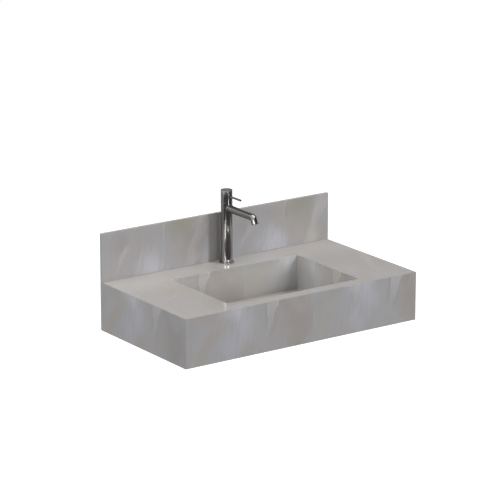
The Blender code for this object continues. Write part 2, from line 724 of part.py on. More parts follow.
def make_click_cartridge(waste, spider_top):
    """The click cartridge: a cup in the spider's hub that takes the plug's stem."""
    lip_foot = spider_top + CLEARANCE
    lip_top = lip_foot + CLICK_LIP_HEIGHT
    bore = PLUG_STEM_RADIUS + CLEARANCE
    bottom = lip_top - CLICK_LENGTH
    profile = [
        (bore, lip_top), (CLICK_RADIUS + CLICK_LIP, lip_top), (CLICK_RADIUS + CLICK_LIP, lip_foot),
        (CLICK_RADIUS, lip_foot), (CLICK_RADIUS, bottom), (0, bottom), (0, bottom + CLICK_WALL),
        (bore, bottom + CLICK_WALL),
    ]
    open_profile = profile[6:] + profile[:6]
    turned("plug_click_cartridge", open_profile, "brass", waste)


def make_plug(waste):
    """The domed plug cap with its stem, and the seal under its edge."""
    rim = WASTE_GASKET + 2 * CLEARANCE + WASTE_FLANGE_HEIGHT
    edge_foot = rim + CLEARANCE + PLUG_SEAL_HEIGHT + CLEARANCE
    edge_top = edge_foot + PLUG_EDGE
    crown = edge_top + PLUG_CROWN
    stem_end = edge_foot - PLUG_STEM_END
    slope = [(PLUG_RADIUS * math.sin(a), edge_top + (crown - edge_top) * math.cos(a))
             for a in (math.pi / 2 * i / ARC_STEPS for i in range(ARC_STEPS + 1))]
    profile = slope + [(PLUG_RADIUS, edge_foot), (PLUG_STEM_RADIUS, edge_foot)]
    profile += [(PLUG_STEM_RADIUS, stem_end), (0, stem_end)]
    turned("plug_cap", profile, "gunmetal", waste, steps=BODY_STEPS)
    seat = WASTE_FLANGE_RADIUS - 2 * WASTE_FLANGE_HEIGHT
    seal_foot = rim + CLEARANCE
    ring("plug_seal", seat - PLUG_SEAL_WIDTH, seat, seal_foot, seal_foot + PLUG_SEAL_HEIGHT, "rubber", waste,
         steps=BODY_STEPS)


def make_waste_fixings(waste):
    """Gaskets, washer and lock nut that clamp the waste in the floor, and the tail below."""
    ring("waste_upper_gasket", WASTE_HOLE_RADIUS + CLEARANCE, WASTE_FLANGE_RADIUS - CLEARANCE, CLEARANCE,
         CLEARANCE + WASTE_GASKET, "rubber", waste, steps=BODY_STEPS)
    inner = WASTE_PIPE_RADIUS + CLEARANCE
    top = -FLOOR_SLAB - CLEARANCE
    foot = top - LOWER_GASKET_HEIGHT
    ring("waste_lower_gasket", inner, LOWER_GASKET_RADIUS, foot, top, "rubber", waste, steps=BODY_STEPS)
    top = foot - CLEARANCE
    foot = top - WASTE_WASHER_HEIGHT
    ring("waste_washer", inner, LOWER_GASKET_RADIUS, foot, top, "steel", waste, steps=BODY_STEPS)
    top = foot - CLEARANCE
    foot = top - WASTE_NUT_HEIGHT
    nut = cylinder("waste_lock_nut", WASTE_NUT_RADIUS, foot, top, "brass", waste, sides=HEX_SIDES)
    drill(nut, "waste_nut_bore", inner, foot - OVERRUN, top + OVERRUN, waste, sides=BODY_STEPS)
    pipe_foot = WASTE_GASKET + 2 * CLEARANCE - WASTE_LENGTH
    tail_top = pipe_foot + TAIL_OVERLAP
    ring("waste_tail", TAIL_RADIUS - TAIL_WALL, TAIL_RADIUS, tail_top - TAIL_LENGTH, tail_top, "gunmetal",
         waste, steps=BODY_STEPS)


def make_tap_base(tap):
    """The base flange on its gasket."""
    inner = BODY_BORE_RADIUS
    outer = FLANGE_RADIUS
    foot = BASE_GASKET + 2 * CLEARANCE
    side = quarter_round(outer, FLANGE_HEIGHT, FLANGE_ROUND)
    profile = side + [(outer, foot), (inner, foot), (inner, FLANGE_HEIGHT)]
    turned("tap_base_flange", profile, "gunmetal", tap, steps=BODY_STEPS)
    ring("tap_base_gasket", outer - CLEARANCE - BASE_GASKET_WIDTH, outer - CLEARANCE, CLEARANCE,
         CLEARANCE + BASE_GASKET, "rubber", tap, steps=BODY_STEPS)


def make_tap_body(tap):
    """The upright body tube with its neck, counterbore and the hole for the spout's spigot."""
    neck = CARTRIDGE_RADIUS + CLEARANCE
    neck_foot = CARTRIDGE_SEAT - NECK_HEIGHT
    profile = [
        (COUNTERBORE_RADIUS, BODY_TOP), (BODY_RADIUS, BODY_TOP), (BODY_RADIUS, BODY_FOOT),
        (BODY_BORE_RADIUS, BODY_FOOT), (BODY_BORE_RADIUS, neck_foot), (neck, neck_foot),
        (neck, CARTRIDGE_SEAT), (COUNTERBORE_RADIUS, CARTRIDGE_SEAT),
    ]
    body = turned("tap_body", profile, "gunmetal", tap, steps=BODY_STEPS)
    drill(body, "spigot_hole", SPIGOT_RADIUS + CLEARANCE, 0, BODY_RADIUS + OVERRUN, tap, (0, 0, SPOUT_HEIGHT),
          SMALL_STEPS, lie_along_y)


def spout_route():
    """The spout's centre line from the body's axis: straight, bent down, and a short straight end."""
    bend_drop = SPOUT_BEND_RADIUS * (1 - math.cos(SPOUT_BEND))
    bend_run = SPOUT_BEND_RADIUS * math.sin(SPOUT_BEND)
    end = (SPOUT_DROP - bend_drop) / math.sin(SPOUT_BEND)
    start = SPOUT_REACH - bend_run - end * math.cos(SPOUT_BEND)
    route = [(0, -start, SPOUT_HEIGHT)]
    for index in range(1, BEND_STEPS + 1):
        angle = SPOUT_BEND * index / BEND_STEPS
        route.append((0, -start - SPOUT_BEND_RADIUS * math.sin(angle),
                      SPOUT_HEIGHT - SPOUT_BEND_RADIUS * (1 - math.cos(angle))))
    route.append((0, -SPOUT_REACH, SPOUT_HEIGHT - SPOUT_DROP))
    return route


def route_radii(route, root, tip):
    """Radii that taper evenly from the spout's root to its tip."""
    return [root + (tip - root) * -place[1] / SPOUT_REACH for place in route]


def past_end(route):
    """The route with its last point pushed on past the outlet."""
    last = Vector(route[-1])
    way = (last - Vector(route[-2])).normalized()
    return route[:-1] + [tuple(last + way * OVERRUN)]


def make_spout(tap):
    """The spout: a tapered tube, saddle-cut to the body, with a spigot, a bore and the outlet's seat."""
    root = BODY_RADIUS - BODY_WALL
    route = [(0, -root, SPOUT_HEIGHT)] + spout_route()
    spout = tube("tap_spout", route, route_radii(route, SPOUT_RADIUS, SPOUT_TIP_RADIUS), "gunmetal", tap)
    axis = (0, 0, SPOUT_HEIGHT)
    drill(spout, "spout_saddle", BODY_RADIUS + CLEARANCE, 0, TAP_HEIGHT, tap, sides=BODY_STEPS)
    bore_start = BODY_RADIUS + COLLAR_LENGTH
    spigot = cylinder("spout_spigot", SPIGOT_RADIUS, root + CLEARANCE, bore_start + CLEARANCE,
                      "gunmetal", tap, place=axis)
    lie_along_y(spigot)
    join(spout, spigot)
    drill(spout, "spigot_bore", SPIGOT_BORE_RADIUS, root - OVERRUN, bore_start + OVERRUN, tap, axis,
          lie=lie_along_y)
    drill(spout, "outlet_seat", aerator_seat_radius() + CLEARANCE, -AERATOR_LENGTH - CLEARANCE, OVERRUN, tap,
          route[-1], SMALL_STEPS, face_outlet)
    bore = [(0, -bore_start, SPOUT_HEIGHT)] + past_end(spout_route())
    radii = route_radii(bore, SPOUT_RADIUS - SPOUT_WALL, SPOUT_TIP_RADIUS - SPOUT_WALL)
    cut(spout, tube("spout_bore", bore, radii, "gunmetal", tap))


def aerator_seat_radius():
    """The radius of the aerator's part inside the spout."""
    return SPOUT_TIP_RADIUS - AERATOR_SEAT_WALL - CLEARANCE


def face_outlet(part):
    """Turn an upright part so that its +Z points out of the spout."""
    part.rotation_euler = (math.pi / 2 + SPOUT_BEND, 0, 0)


def make_spout_collar(tap):
    """The ring where the spout leaves the body, saddle-cut to it."""
    collar = ring("spout_collar", SPOUT_RADIUS + CLEARANCE, COLLAR_RADIUS, BODY_RADIUS - COLLAR_RADIUS / 2,
                  BODY_RADIUS + COLLAR_LENGTH, "gunmetal", tap, (0, 0, SPOUT_HEIGHT), BODY_STEPS)
    lie_along_y(collar)
    drill(collar, "collar_saddle", BODY_RADIUS + CLEARANCE, 0, TAP_HEIGHT, tap, sides=BODY_STEPS)


def make_aerator(tap):
    """The outlet ring and the perforated insert inside it."""
    place = (0, -SPOUT_REACH, SPOUT_HEIGHT - SPOUT_DROP)
    seat = aerator_seat_radius()
    inner = seat - AERATOR_WALL
    lip = AERATOR_LIP + CLEARANCE
    profile = [(inner, lip), (AERATOR_RADIUS, lip), (AERATOR_RADIUS, CLEARANCE), (seat, CLEARANCE),
               (seat, -AERATOR_LENGTH), (inner, -AERATOR_LENGTH)]
    housing = turned("aerator_housing", profile, "gunmetal", tap, place, BODY_STEPS)
    face_outlet(housing)
    insert = cylinder("aerator_insert", inner - CLEARANCE, -INSERT_HEIGHT, 0, "polymer", tap, place=place)
    face_outlet(insert)
    turn = insert.rotation_euler.to_matrix()
    for index in range(INSERT_HOLES):
        angle = 2 * math.pi * index / INSERT_HOLES
        across = Vector((INSERT_RING_RADIUS * math.cos(angle), INSERT_RING_RADIUS * math.sin(angle), 0))
        drill(insert, f"insert_hole_{index}", INSERT_HOLE_RADIUS, -OVERRUN, OVERRUN, tap,
              Vector(place) + turn @ across, HEX_SIDES, face_outlet)


def make_cartridge(tap):
    """The cartridge's body, with two inlet ports below and an outlet to the spout."""
    cavity = ROTOR_RADIUS + CLEARANCE
    cavity_foot = ROTOR_FOOT - CLEARANCE
    flange_foot = CARTRIDGE_TOP - CARTRIDGE_FLANGE
    profile = [
        (0, cavity_foot), (cavity, cavity_foot), (cavity, CARTRIDGE_TOP),
        (CARTRIDGE_FLANGE_RADIUS, CARTRIDGE_TOP), (CARTRIDGE_FLANGE_RADIUS, flange_foot),
        (CARTRIDGE_RADIUS, flange_foot), (CARTRIDGE_RADIUS, CARTRIDGE_FOOT), (0, CARTRIDGE_FOOT),
    ]
    cartridge = turned("cartridge_body", profile, "polymer", tap)
    for side in (-1, 1):
        drill(cartridge, f"cartridge_port_{side}", CARTRIDGE_PORT_RADIUS, CARTRIDGE_FOOT - OVERRUN,
              ROTOR_FOOT, tap, (side * PORT_SPACING / 2, 0, 0), HOLE_SIDES)
    outlet_height = CARTRIDGE_FOOT + CARTRIDGE_LENGTH / 2
    drill(cartridge, "cartridge_outlet", CARTRIDGE_OUTLET_RADIUS, 0, CARTRIDGE_RADIUS + OVERRUN, tap,
          (0, 0, outlet_height), HOLE_SIDES, lie_along_y)


def make_dome_nut(tap):
    """The domed nut that clamps the cartridge and fills the hollow under the handle cap."""
    foot = CARTRIDGE_TOP + CLEARANCE
    rest = BODY_TOP + CLEARANCE
    edge = math.sqrt(DOME_SPHERE ** 2 - (rest - PIVOT) ** 2)
    dome = arc(PIVOT, DOME_SPHERE, DOME_HOLE_RADIUS, edge)
    thread = CARTRIDGE_FLANGE_RADIUS
    profile = dome + [(thread, rest), (thread, foot), (DOME_HOLE_RADIUS, foot)]
    turned("dome_nut", profile, "gunmetal", tap, steps=BODY_STEPS)


def make_rotor(turning):
    """The cartridge's turning cup, with a cross pin for the spindle."""
    cavity = SPINDLE_BALL_RADIUS + CLEARANCE
    cavity_foot = ROTOR_FLOOR - ROTOR_BELOW_PIVOT
    profile = [
        (0, cavity_foot), (cavity, cavity_foot), (cavity, ROTOR_ABOVE_PIVOT),
        (ROTOR_RADIUS, ROTOR_ABOVE_PIVOT), (ROTOR_RADIUS, -ROTOR_BELOW_PIVOT), (0, -ROTOR_BELOW_PIVOT),
    ]
    rotor = turned("cartridge_rotor", profile, "polymer", turning)
    reach = ROTOR_RADIUS + OVERRUN
    drill(rotor, "rotor_pin_hole", PIN_RADIUS + CLEARANCE, -reach, reach, turning, sides=HOLE_SIDES,
          lie=lie_along_x)
    reach = ROTOR_RADIUS - CLEARANCE
    pin = cylinder("spindle_pin", PIN_RADIUS, -reach, reach, "steel", turning, HOLE_SIDES)
    lie_along_x(pin)


def make_spindle(lifting):
    """The spindle on its ball, drilled for the cross pin."""
    shoulder = math.sqrt(SPINDLE_BALL_RADIUS ** 2 - SPINDLE_RADIUS ** 2)
    waist = math.sqrt(SPINDLE_BALL_RADIUS ** 2 - SPINDLE_TAIL_RADIUS ** 2)
    first = math.atan2(SPINDLE_RADIUS, shoulder)
    last = math.pi - math.atan2(SPINDLE_TAIL_RADIUS, waist)
    steps = 2 * ARC_STEPS
    angles = [first + (last - first) * i / steps for i in range(steps + 1)]
    ball = [(SPINDLE_BALL_RADIUS * math.sin(a), SPINDLE_BALL_RADIUS * math.cos(a)) for a in angles]
    profile = [(0, SPINDLE_LENGTH), (SPINDLE_RADIUS - SPINDLE_CHAMFER, SPINDLE_LENGTH),
               (SPINDLE_RADIUS, SPINDLE_LENGTH - SPINDLE_CHAMFER)]
    profile += ball + [(SPINDLE_TAIL_RADIUS, -SPINDLE_TAIL), (0, -SPINDLE_TAIL)]
    spindle = turned("handle_spindle", profile, "steel", lifting)
    reach = SPINDLE_BALL_RADIUS + OVERRUN
    drill(spindle, "spindle_pin_hole", PIN_RADIUS + CLEARANCE, -reach, reach, lifting, sides=HOLE_SIDES,
          lie=lie_along_x)


def make_handle_cap(lifting):
    """The handle cap: a hollow cylinder that slides on the dome, with a boss for the spindle."""
    top = TAP_HEIGHT - PIVOT
    rim = CAP_RIM - PIVOT
    inner = BODY_RADIUS - CAP_WALL
    socket = SPINDLE_RADIUS + CLEARANCE
    socket_top = CAP_SOCKET_TOP - PIVOT
    boss_foot = CAP_BOSS_FOOT - PIVOT
    hollow = arc(0, CAP_SPHERE, BODY_RADIUS - RIM_LAND, inner)
    profile = [(0, top)] + quarter_round(BODY_RADIUS, top, CAP_ROUND) + [(BODY_RADIUS, rim)] + hollow
    profile += [(inner, top - CAP_TOP), (CAP_BOSS_RADIUS, top - CAP_TOP), (CAP_BOSS_RADIUS, boss_foot),
                (socket, boss_foot), (socket, socket_top), (0, socket_top)]
    cap = turned("handle_cap", profile, "gunmetal", lifting, steps=BODY_STEPS)
    lever_up = LEVER_HEIGHT - PIVOT
    for name, radius, low in (("lever_hole", LEVER_RADIUS + CLEARANCE, CAP_BOSS_RADIUS + CLEARANCE),
                              ("lever_socket", LEVER_SOCKET_RADIUS, BODY_RADIUS - LEVER_SOCKET_DEPTH)):
        drill(cap, name, radius, low, BODY_RADIUS + OVERRUN, lifting, (0, 0, lever_up), lie=lie_along_y)
    drill(cap, "grub_hole", GRUB_RADIUS + CLEARANCE, -BODY_RADIUS - OVERRUN, -SPINDLE_RADIUS, lifting,
          (0, 0, lever_up - GRUB_BELOW_LEVER), HOLE_SIDES, lie_along_y)


def make_lever(lifting):
    """The lever pin with its rounded tip, and the grub screw that locks the cap on the spindle."""
    lever_up = LEVER_HEIGHT - PIVOT
    root = CAP_BOSS_RADIUS + 2 * CLEARANCE
    profile = [(0, LEVER_REACH)] + quarter_round(LEVER_RADIUS, LEVER_REACH, LEVER_ROUND)
    profile += [(LEVER_RADIUS, root), (0, root)]
    lever = turned("handle_lever", profile, "gunmetal", lifting, (0, 0, lever_up))
    lie_along_y(lever)
    start = -CAP_BOSS_RADIUS
    place = (0, 0, lever_up - GRUB_BELOW_LEVER)
    grub = cylinder("handle_grub_screw", GRUB_RADIUS, start, -SPINDLE_RADIUS - CLEARANCE, "steel", lifting,
                    HOLE_SIDES, place)
    lie_along_y(grub)
    drill(grub, "grub_key", GRUB_KEY_RADIUS, start - OVERRUN, start + GRUB_KEY_DEPTH, lifting,
          place, HEX_SIDES, lie_along_y)


def make_shank(tap):
    """The drilled shank through the deck, its washers and fixing nut, and the two inlet tubes."""
    profile = [(0, SHANK_HEAD_TOP), (SHANK_HEAD_RADIUS, SHANK_HEAD_TOP),
               (SHANK_HEAD_RADIUS, SHANK_HEAD_FOOT), (SHANK_RADIUS, SHANK_HEAD_FOOT),
               (SHANK_RADIUS, -SHANK_LENGTH), (0, -SHANK_LENGTH)]
    shank = turned("tap_shank", profile, "brass", tap, steps=BODY_STEPS)
    inner = SHANK_RADIUS + CLEARANCE
    ring("deck_rubber_washer", inner, WASHER_RADIUS, RUBBER_TOP - RUBBER_WASHER, RUBBER_TOP, "rubber", tap,
         steps=BODY_STEPS)
    ring("deck_steel_washer", inner, WASHER_RADIUS, STEEL_TOP - STEEL_WASHER, STEEL_TOP, "steel", tap,
         steps=BODY_STEPS)
    foot = NUT_TOP - FIXING_NUT_HEIGHT
    nut = cylinder("tap_fixing_nut", WASHER_RADIUS, foot, NUT_TOP, "brass", tap, sides=HEX_SIDES)
    drill(nut, "fixing_nut_bore", inner, foot - OVERRUN, NUT_TOP + OVERRUN, tap, sides=BODY_STEPS)
    for word, side in (("hot", -1), ("cold", 1)):
        place = (side * INLET_SPACING / 2, 0, 0)
        drill(shank, f"shank_bore_{word}", INLET_RADIUS + CLEARANCE, -SHANK_LENGTH - OVERRUN,
              SHANK_HEAD_TOP + OVERRUN, tap, place)
        ring(f"inlet_tube_{word}", INLET_RADIUS - INLET_WALL, INLET_RADIUS, -INLET_BELOW_DECK,
             CARTRIDGE_FOOT - CLEARANCE, "brass", tap, place)


def main():
    """Build every part of the vanity."""
    clear_scene()
    tap = empty("tap_axis", (TAP_OFFSET, -TAP_SETBACK, DECK))
    turning = empty("handle_turn_axis", (TAP_OFFSET, -TAP_SETBACK, DECK + PIVOT))
    lifting = empty("handle_lift_axis", (TAP_OFFSET, -TAP_SETBACK, DECK + PIVOT))
    waste = empty("waste_axis", (0, BASIN_MIDDLE, WASTE_SEAT))
    make_top_slab(tap)
    make_front_apron()
    make_side_apron("left_apron", -1)
    make_side_apron("right_apron", 1)
    make_upstand()
    make_basin()
    make_glue_blocks()
    make_wall_rail()
    make_arm("left", -1)
    make_arm("right", 1)
    make_front_rail()
    make_cradle()
    spider_top = make_waste_body(waste)
    make_click_cartridge(waste, spider_top)
    make_plug(waste)
    make_waste_fixings(waste)
    make_tap_base(tap)
    make_tap_body(tap)
    make_spout(tap)
    make_spout_collar(tap)
    make_aerator(tap)
    make_cartridge(tap)
    make_dome_nut(tap)
    make_rotor(turning)
    make_spindle(lifting)
    make_handle_cap(lifting)
    make_lever(lifting)
    make_shank(tap)
    bpy.context.view_layer.update()


main()
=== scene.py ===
"""Looks for the wall-hung stone vanity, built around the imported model.

Metres, +Z up, +X to the right seen from the front, the front towards -Y.
Heights of the tap's pieces are measured above the deck, those of the waste above its seat in the basin.
"""

import json
import math

import bmesh
import bpy
from mathutils import Matrix, Vector


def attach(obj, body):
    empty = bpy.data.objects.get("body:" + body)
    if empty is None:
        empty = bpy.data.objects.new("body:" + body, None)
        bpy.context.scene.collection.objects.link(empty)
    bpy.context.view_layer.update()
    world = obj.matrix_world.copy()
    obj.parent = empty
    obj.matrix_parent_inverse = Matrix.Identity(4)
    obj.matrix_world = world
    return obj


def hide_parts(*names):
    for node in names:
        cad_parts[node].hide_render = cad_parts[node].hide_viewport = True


MM = 0.001
WHITE = (1, 1, 1, 1)

# The screen's own colour curve
SCREEN_LEVELS = 255
CURVE_KNEE = 0.04045
CURVE_SLOPE = 12.92
CURVE_OFFSET = 0.055
CURVE_POWER = 2.4

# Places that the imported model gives
DECK = 0.0373
TAP_AXIS = (0.0112, -0.051, DECK)
WASTE_AXIS = (0.0, -0.3075, -0.0977)

# Camera, fitted to the photograph's straight edges
CAMERA_AZIMUTH = math.radians(-34.854)
CAMERA_ELEVATION = math.radians(15.75)
CAMERA_ROLL = math.radians(-0.048)
CAMERA_DISTANCE = 9.4769
CAMERA_ACROSS = -0.1854
CAMERA_UP = -0.4437
CAMERA_CORNER = Vector((0.5, 0.545, 0.1427))
FOCAL_PIXELS = 2769.8
FRAME_PIXELS = 480
SENSOR_WIDTH = 36.0

# Tap sizes
BODY_RADIUS = 22 * MM
BODY_BORE = 18.5 * MM
BODY_FOOT = 6.3 * MM
BODY_TOP = 228.1 * MM
COUNTERBORE = 16.5 * MM
FLANGE_RADIUS = 27 * MM
FLANGE_FOOT = 1.6 * MM
FLANGE_HEIGHT = 6 * MM
FLANGE_ROUND = 1.2 * MM
PIVOT = 219 * MM
CAP_RIM = 229.3 * MM
CAP_RIM_EDGE = 0.2 * MM
CAP_SPHERE = 24.11 * MM
CAP_WALL = 4 * MM
CAP_TOP = 3 * MM
CAP_ROUND = 1.0 * MM
CAP_BOSS = 8 * MM
CAP_BOSS_FOOT = 242.8 * MM
TAP_TOP = 274 * MM
LEVER_HEIGHT = 252 * MM
LEVER_RADIUS = 4 * MM
LEVER_ROOT = 8.6 * MM
LEVER_REACH = 90 * MM
LEVER_ROUND = 0.6 * MM
LEVER_SOCKET = 5.1 * MM
LEVER_SOCKET_DEPTH = 1.2 * MM
GRUB_BELOW_LEVER = 4.5 * MM
GRUB_HOLE = 2.3 * MM
SPINDLE_HOLE = 3.8 * MM
SPINDLE_TOP = 253.8 * MM
DOME_SPHERE = 23.81 * MM
DOME_HOLE = 12.5 * MM
DOME_THREAD = 16.2 * MM
DOME_FOOT = 222.6 * MM
DOME_REST = 228.4 * MM
SPOUT_HEIGHT = 206.5 * MM
SPOUT_RADIUS = 14 * MM
SPOUT_TIP = 13 * MM
SPOUT_WALL = 2.4 * MM
SPOUT_REACH = 180 * MM
SPOUT_DROP = 21.5 * MM
SPOUT_BEND_RADIUS = 16 * MM
SPOUT_BEND = math.radians(66)
COLLAR_RADIUS = 15.3 * MM
COLLAR_LENGTH = 4 * MM
COLLAR_ROUND = 0.6 * MM
AERATOR_RADIUS = 12.3 * MM
AERATOR_SEAT = 11.5 * MM
AERATOR_BORE = 9.9 * MM
AERATOR_LIP = 1.5 * MM
AERATOR_BEVEL = 0.5 * MM
AERATOR_LENGTH = 8 * MM

# Waste sizes
WASTE_FLANGE = 32 * MM
WASTE_FLANGE_FOOT = 1.8 * MM
WASTE_FLANGE_TOP = 4.8 * MM
WASTE_RIM = 6 * MM
WASTE_BEVEL = 1.5 * MM
WASTE_SHOULDER = 1.6 * MM
WASTE_EDGE = 1.0 * MM
WASTE_PIPE = 20.8 * MM
WASTE_BORE = 16.3 * MM
WASTE_BOTTOM = -60.2 * MM
WASTE_SPIDER_TOP = -10.2 * MM
WASTE_SPIDER_FOOT = -24.2 * MM
WASTE_SPIDER_WIDTH = 4 * MM
WASTE_HUB = 10 * MM
WASTE_HUB_BORE = 7.8 * MM
PLUG_RADIUS = 29.5 * MM
PLUG_FOOT = 6.6 * MM
PLUG_EDGE = 2.2 * MM
PLUG_CROWN = 3.4 * MM
PLUG_STEM = 4.2 * MM
PLUG_STEM_FOOT = -19.4 * MM
TAIL_RADIUS = 16 * MM
TAIL_BORE = 14.4 * MM
TAIL_TOP = -42.2 * MM
TAIL_FOOT = -120.2 * MM

# Joint under the upstand
HALF_WIDTH = 0.5
UPSTAND_FACE = -12 * MM
UPSTAND_FOOT = DECK + 1.0 * MM
BEAD_WIDTH = 2.0 * MM
BEAD_HEIGHT = 2.2 * MM
BEAD_HOLLOW = (0.45, 0.35)
BEAD_LIP = 0.1 * MM
SEAL_FRONT = UPSTAND_FACE - 0.2 * MM
SEAL_SETBACK = 1.5 * MM

# How finely the pieces are drawn
CLEARANCE = 0.3 * MM
FINE_STEPS = 128
PIN_STEPS = 64
HOLE_STEPS = 32
SPOUT_SIDES = 96
BEND_STEPS = 24
ROUND_STEPS = 6
ARC_STEPS = 12
OVERRUN = 2 * MM
SHARP_ANGLE = math.radians(35)
FORWARD = Matrix.Rotation(math.pi / 2, 3, "X")
OUTLET = Matrix.Rotation(math.pi / 2 + SPOUT_BEND, 3, "X")


def tint(red, green, blue):
    """A colour written as it shows on screen, in the renderer's own values."""
    return tuple(linear(part / SCREEN_LEVELS) for part in (red, green, blue)) + (1.0,)


def linear(part):
    """One screen value without its gamma."""
    if part <= CURVE_KNEE:
        return part / CURVE_SLOPE
    return ((part + CURVE_OFFSET) / (1 + CURVE_OFFSET)) ** CURVE_POWER


class Tree:
    """Short calls for wiring the nodes of a material or a world."""

    def __init__(self, owner):
        owner.use_nodes = True
        self.owner = owner
        self.nodes = owner.node_tree.nodes
        self.links = owner.node_tree.links
        self.shader = self.nodes.get("Principled BSDF")

    def add(self, kind, **settings):
        """A new node of that kind."""
        node = self.nodes.new(kind)
        for name, value in settings.items():
            setattr(node, name, value)
        return node

    def feed(self, socket, source):
        """Put a number, a colour or another node's output into a socket."""
        if isinstance(source, bpy.types.NodeSocket):
            self.links.new(source, socket)
        else:
            socket.default_value = source

    def work(self, operation, *sources):
        """The result of arithmetic on one or two numbers."""
        node = self.add("ShaderNodeMath", operation=operation)
        for socket, source in zip(node.inputs, sources):
            self.feed(socket, source)
        return node.outputs[0]

    def vector(self, operation, *sources):
        """The result of arithmetic on one or two vectors."""
        node = self.add("ShaderNodeVectorMath", operation=operation)
        for socket, source in zip(node.inputs, sources):
            self.feed(socket, source)
        return node.outputs["Value" if operation == "LENGTH" else "Vector"]

    def mix(self, share, first, second, blend="MIX"):
        """A colour between two others, or their product."""
        node = self.add("ShaderNodeMix", data_type="RGBA", blend_type=blend)
        factor, first_colour, second_colour = node.inputs[0], node.inputs[6], node.inputs[7]
        self.feed(factor, share)
        self.feed(first_colour, first)
        self.feed(second_colour, second)
        return node.outputs[2]

    def times(self, colour, factor):
        """A colour times a number or another colour."""
        return self.mix(1.0, colour, factor, "MULTIPLY")

    def choose(self, share, first, second):
        """A number between two others."""
        node = self.add("ShaderNodeMix", data_type="FLOAT")
        self.feed(node.inputs[0], share)
        self.feed(node.inputs[2], first)
        self.feed(node.inputs[3], second)
        return node.outputs[0]

    def ramp(self, source, low, high, to_low=0.0, to_high=1.0, smooth=True):
        """One range turned into another, held at both ends."""
        node = self.add("ShaderNodeMapRange")
        node.interpolation_type = "SMOOTHSTEP" if smooth else "LINEAR"
        self.feed(node.inputs["Value"], source)
        self.feed(node.inputs["From Min"], low)
        self.feed(node.inputs["From Max"], high)
        self.feed(node.inputs["To Min"], to_low)
        self.feed(node.inputs["To Max"], to_high)
        return node.outputs["Result"]

    def noise(self, place, kind, output="Fac"):
        """Noise of that kind: scale, detail and roughness."""
        node = self.add("ShaderNodeTexNoise")
        self.feed(node.inputs["Vector"], place)
        for name, value in zip(("Scale", "Detail", "Roughness"), kind):
            node.inputs[name].default_value = value
        return node.outputs[output]

    def place(self, kind="Object"):
        """Where the surface is in its object's own space, or its normal there."""
        return self.add("ShaderNodeTexCoord").outputs[kind]

    def axes(self, place):
        """The X, Y and Z of a place."""
        node = self.add("ShaderNodeSeparateXYZ")
        self.feed(node.inputs[0], place)
        return node.outputs

    def join(self, across, up):
        """A flat place from its two numbers."""
        node = self.add("ShaderNodeCombineXYZ")
        self.feed(node.inputs["X"], across)
        self.feed(node.inputs["Y"], up)
        return node.outputs[0]

    def into(self, place, centre, size, tilt=0.0):
        """The place in the space of a tilted ellipse of that centre and size."""
        node = self.add("ShaderNodeMapping", vector_type="TEXTURE")
        self.feed(node.inputs["Vector"], place)
        node.inputs["Location"].default_value = (*centre, 0)
        node.inputs["Rotation"].default_value = (0, 0, math.radians(tilt))
        node.inputs["Scale"].default_value = (*size, 1)
        return node.outputs["Vector"]


def new_material(name):
    """The tree of a new material."""
    return Tree(bpy.data.materials.new(name))


def put_camera():
    """The photograph's camera."""
    az, el = CAMERA_AZIMUTH, CAMERA_ELEVATION
    back = Vector((math.sin(az) * math.cos(el), -math.cos(az) * math.cos(el), math.sin(el)))
    level = Vector((math.cos(az), math.sin(az), 0))
    above = back.cross(level)
    right = math.cos(CAMERA_ROLL) * level + math.sin(CAMERA_ROLL) * above
    up = math.cos(CAMERA_ROLL) * above - math.sin(CAMERA_ROLL) * level
    place = CAMERA_DISTANCE * back - CAMERA_ACROSS * right - CAMERA_UP * up - CAMERA_CORNER
    data = bpy.data.cameras.new("camera")
    data.sensor_width = SENSOR_WIDTH
    data.lens = FOCAL_PIXELS * SENSOR_WIDTH / FRAME_PIXELS
    camera = bpy.data.objects.new("camera", data)
    turn = Matrix((right, up, back)).transposed().to_4x4()
    camera.matrix_world = Matrix.Translation(place) @ turn
    bpy.context.scene.collection.objects.link(camera)
    bpy.context.scene.camera = camera


# Stone
STONE_BASE = tint(163, 160, 158)
STONE_COOL = tint(160, 162, 170)
STONE_WARM = tint(160, 154, 149)
STONE_IOR = 1.5
# The printed slab repeats along its width, and flat faces show it from further up
REPEAT = 0.539
DECK_OFFSET = 0.845
# A face counts as flat or as a side where its normal leans past this
FACE_LIMIT = 0.71
# Painted light and shade: flat faces a little lighter and warmer for painted light from above, the sides'
# front ends a little darker and cooler for painted shade, and the basin lighter, its side walls more, for
# painted bounced light
FLAT_PAINTED_TOP_LIGHT = (1.04, 1.01, 0.96, 1)
SIDE_FRONT_PAINTED_SHADE = (0.935, 0.965, 0.985, 1)
BASIN_PAINTED_BOUNCE_LIGHT = (1.19, 1.19, 1.14, 1)
BASIN_SIDE_PAINTED_LIGHT = (1.07, 1.07, 1.07, 1)
# Noise: scale, detail, roughness
DRIFT_NOISE = (11.0, 4.0, 0.6)
FIBRE_NOISE = (1.0, 3.0, 0.6)
THREAD_NOISE = (1.0, 2.0, 0.5)
CLOUD_NOISE = (9.0, 4.0, 0.6)
WARM_NOISE = (6.3, 3.0, 0.55)
GRAIN_NOISE = (160.0, 5.0, 0.65)
NOISE_MIDDLE = (0.5, 0.5, 0.5)
DRIFT_REACH = (0.040, 0.060, 0.0)
FIBRE_SIZE = (0.012, 0.110)
THREAD_SIZE = (0.0045, 0.080)
FIBRE_TILT = -11
CLOUD_SIZE = (0.55, 1.6)
CLOUD_TILT = -22
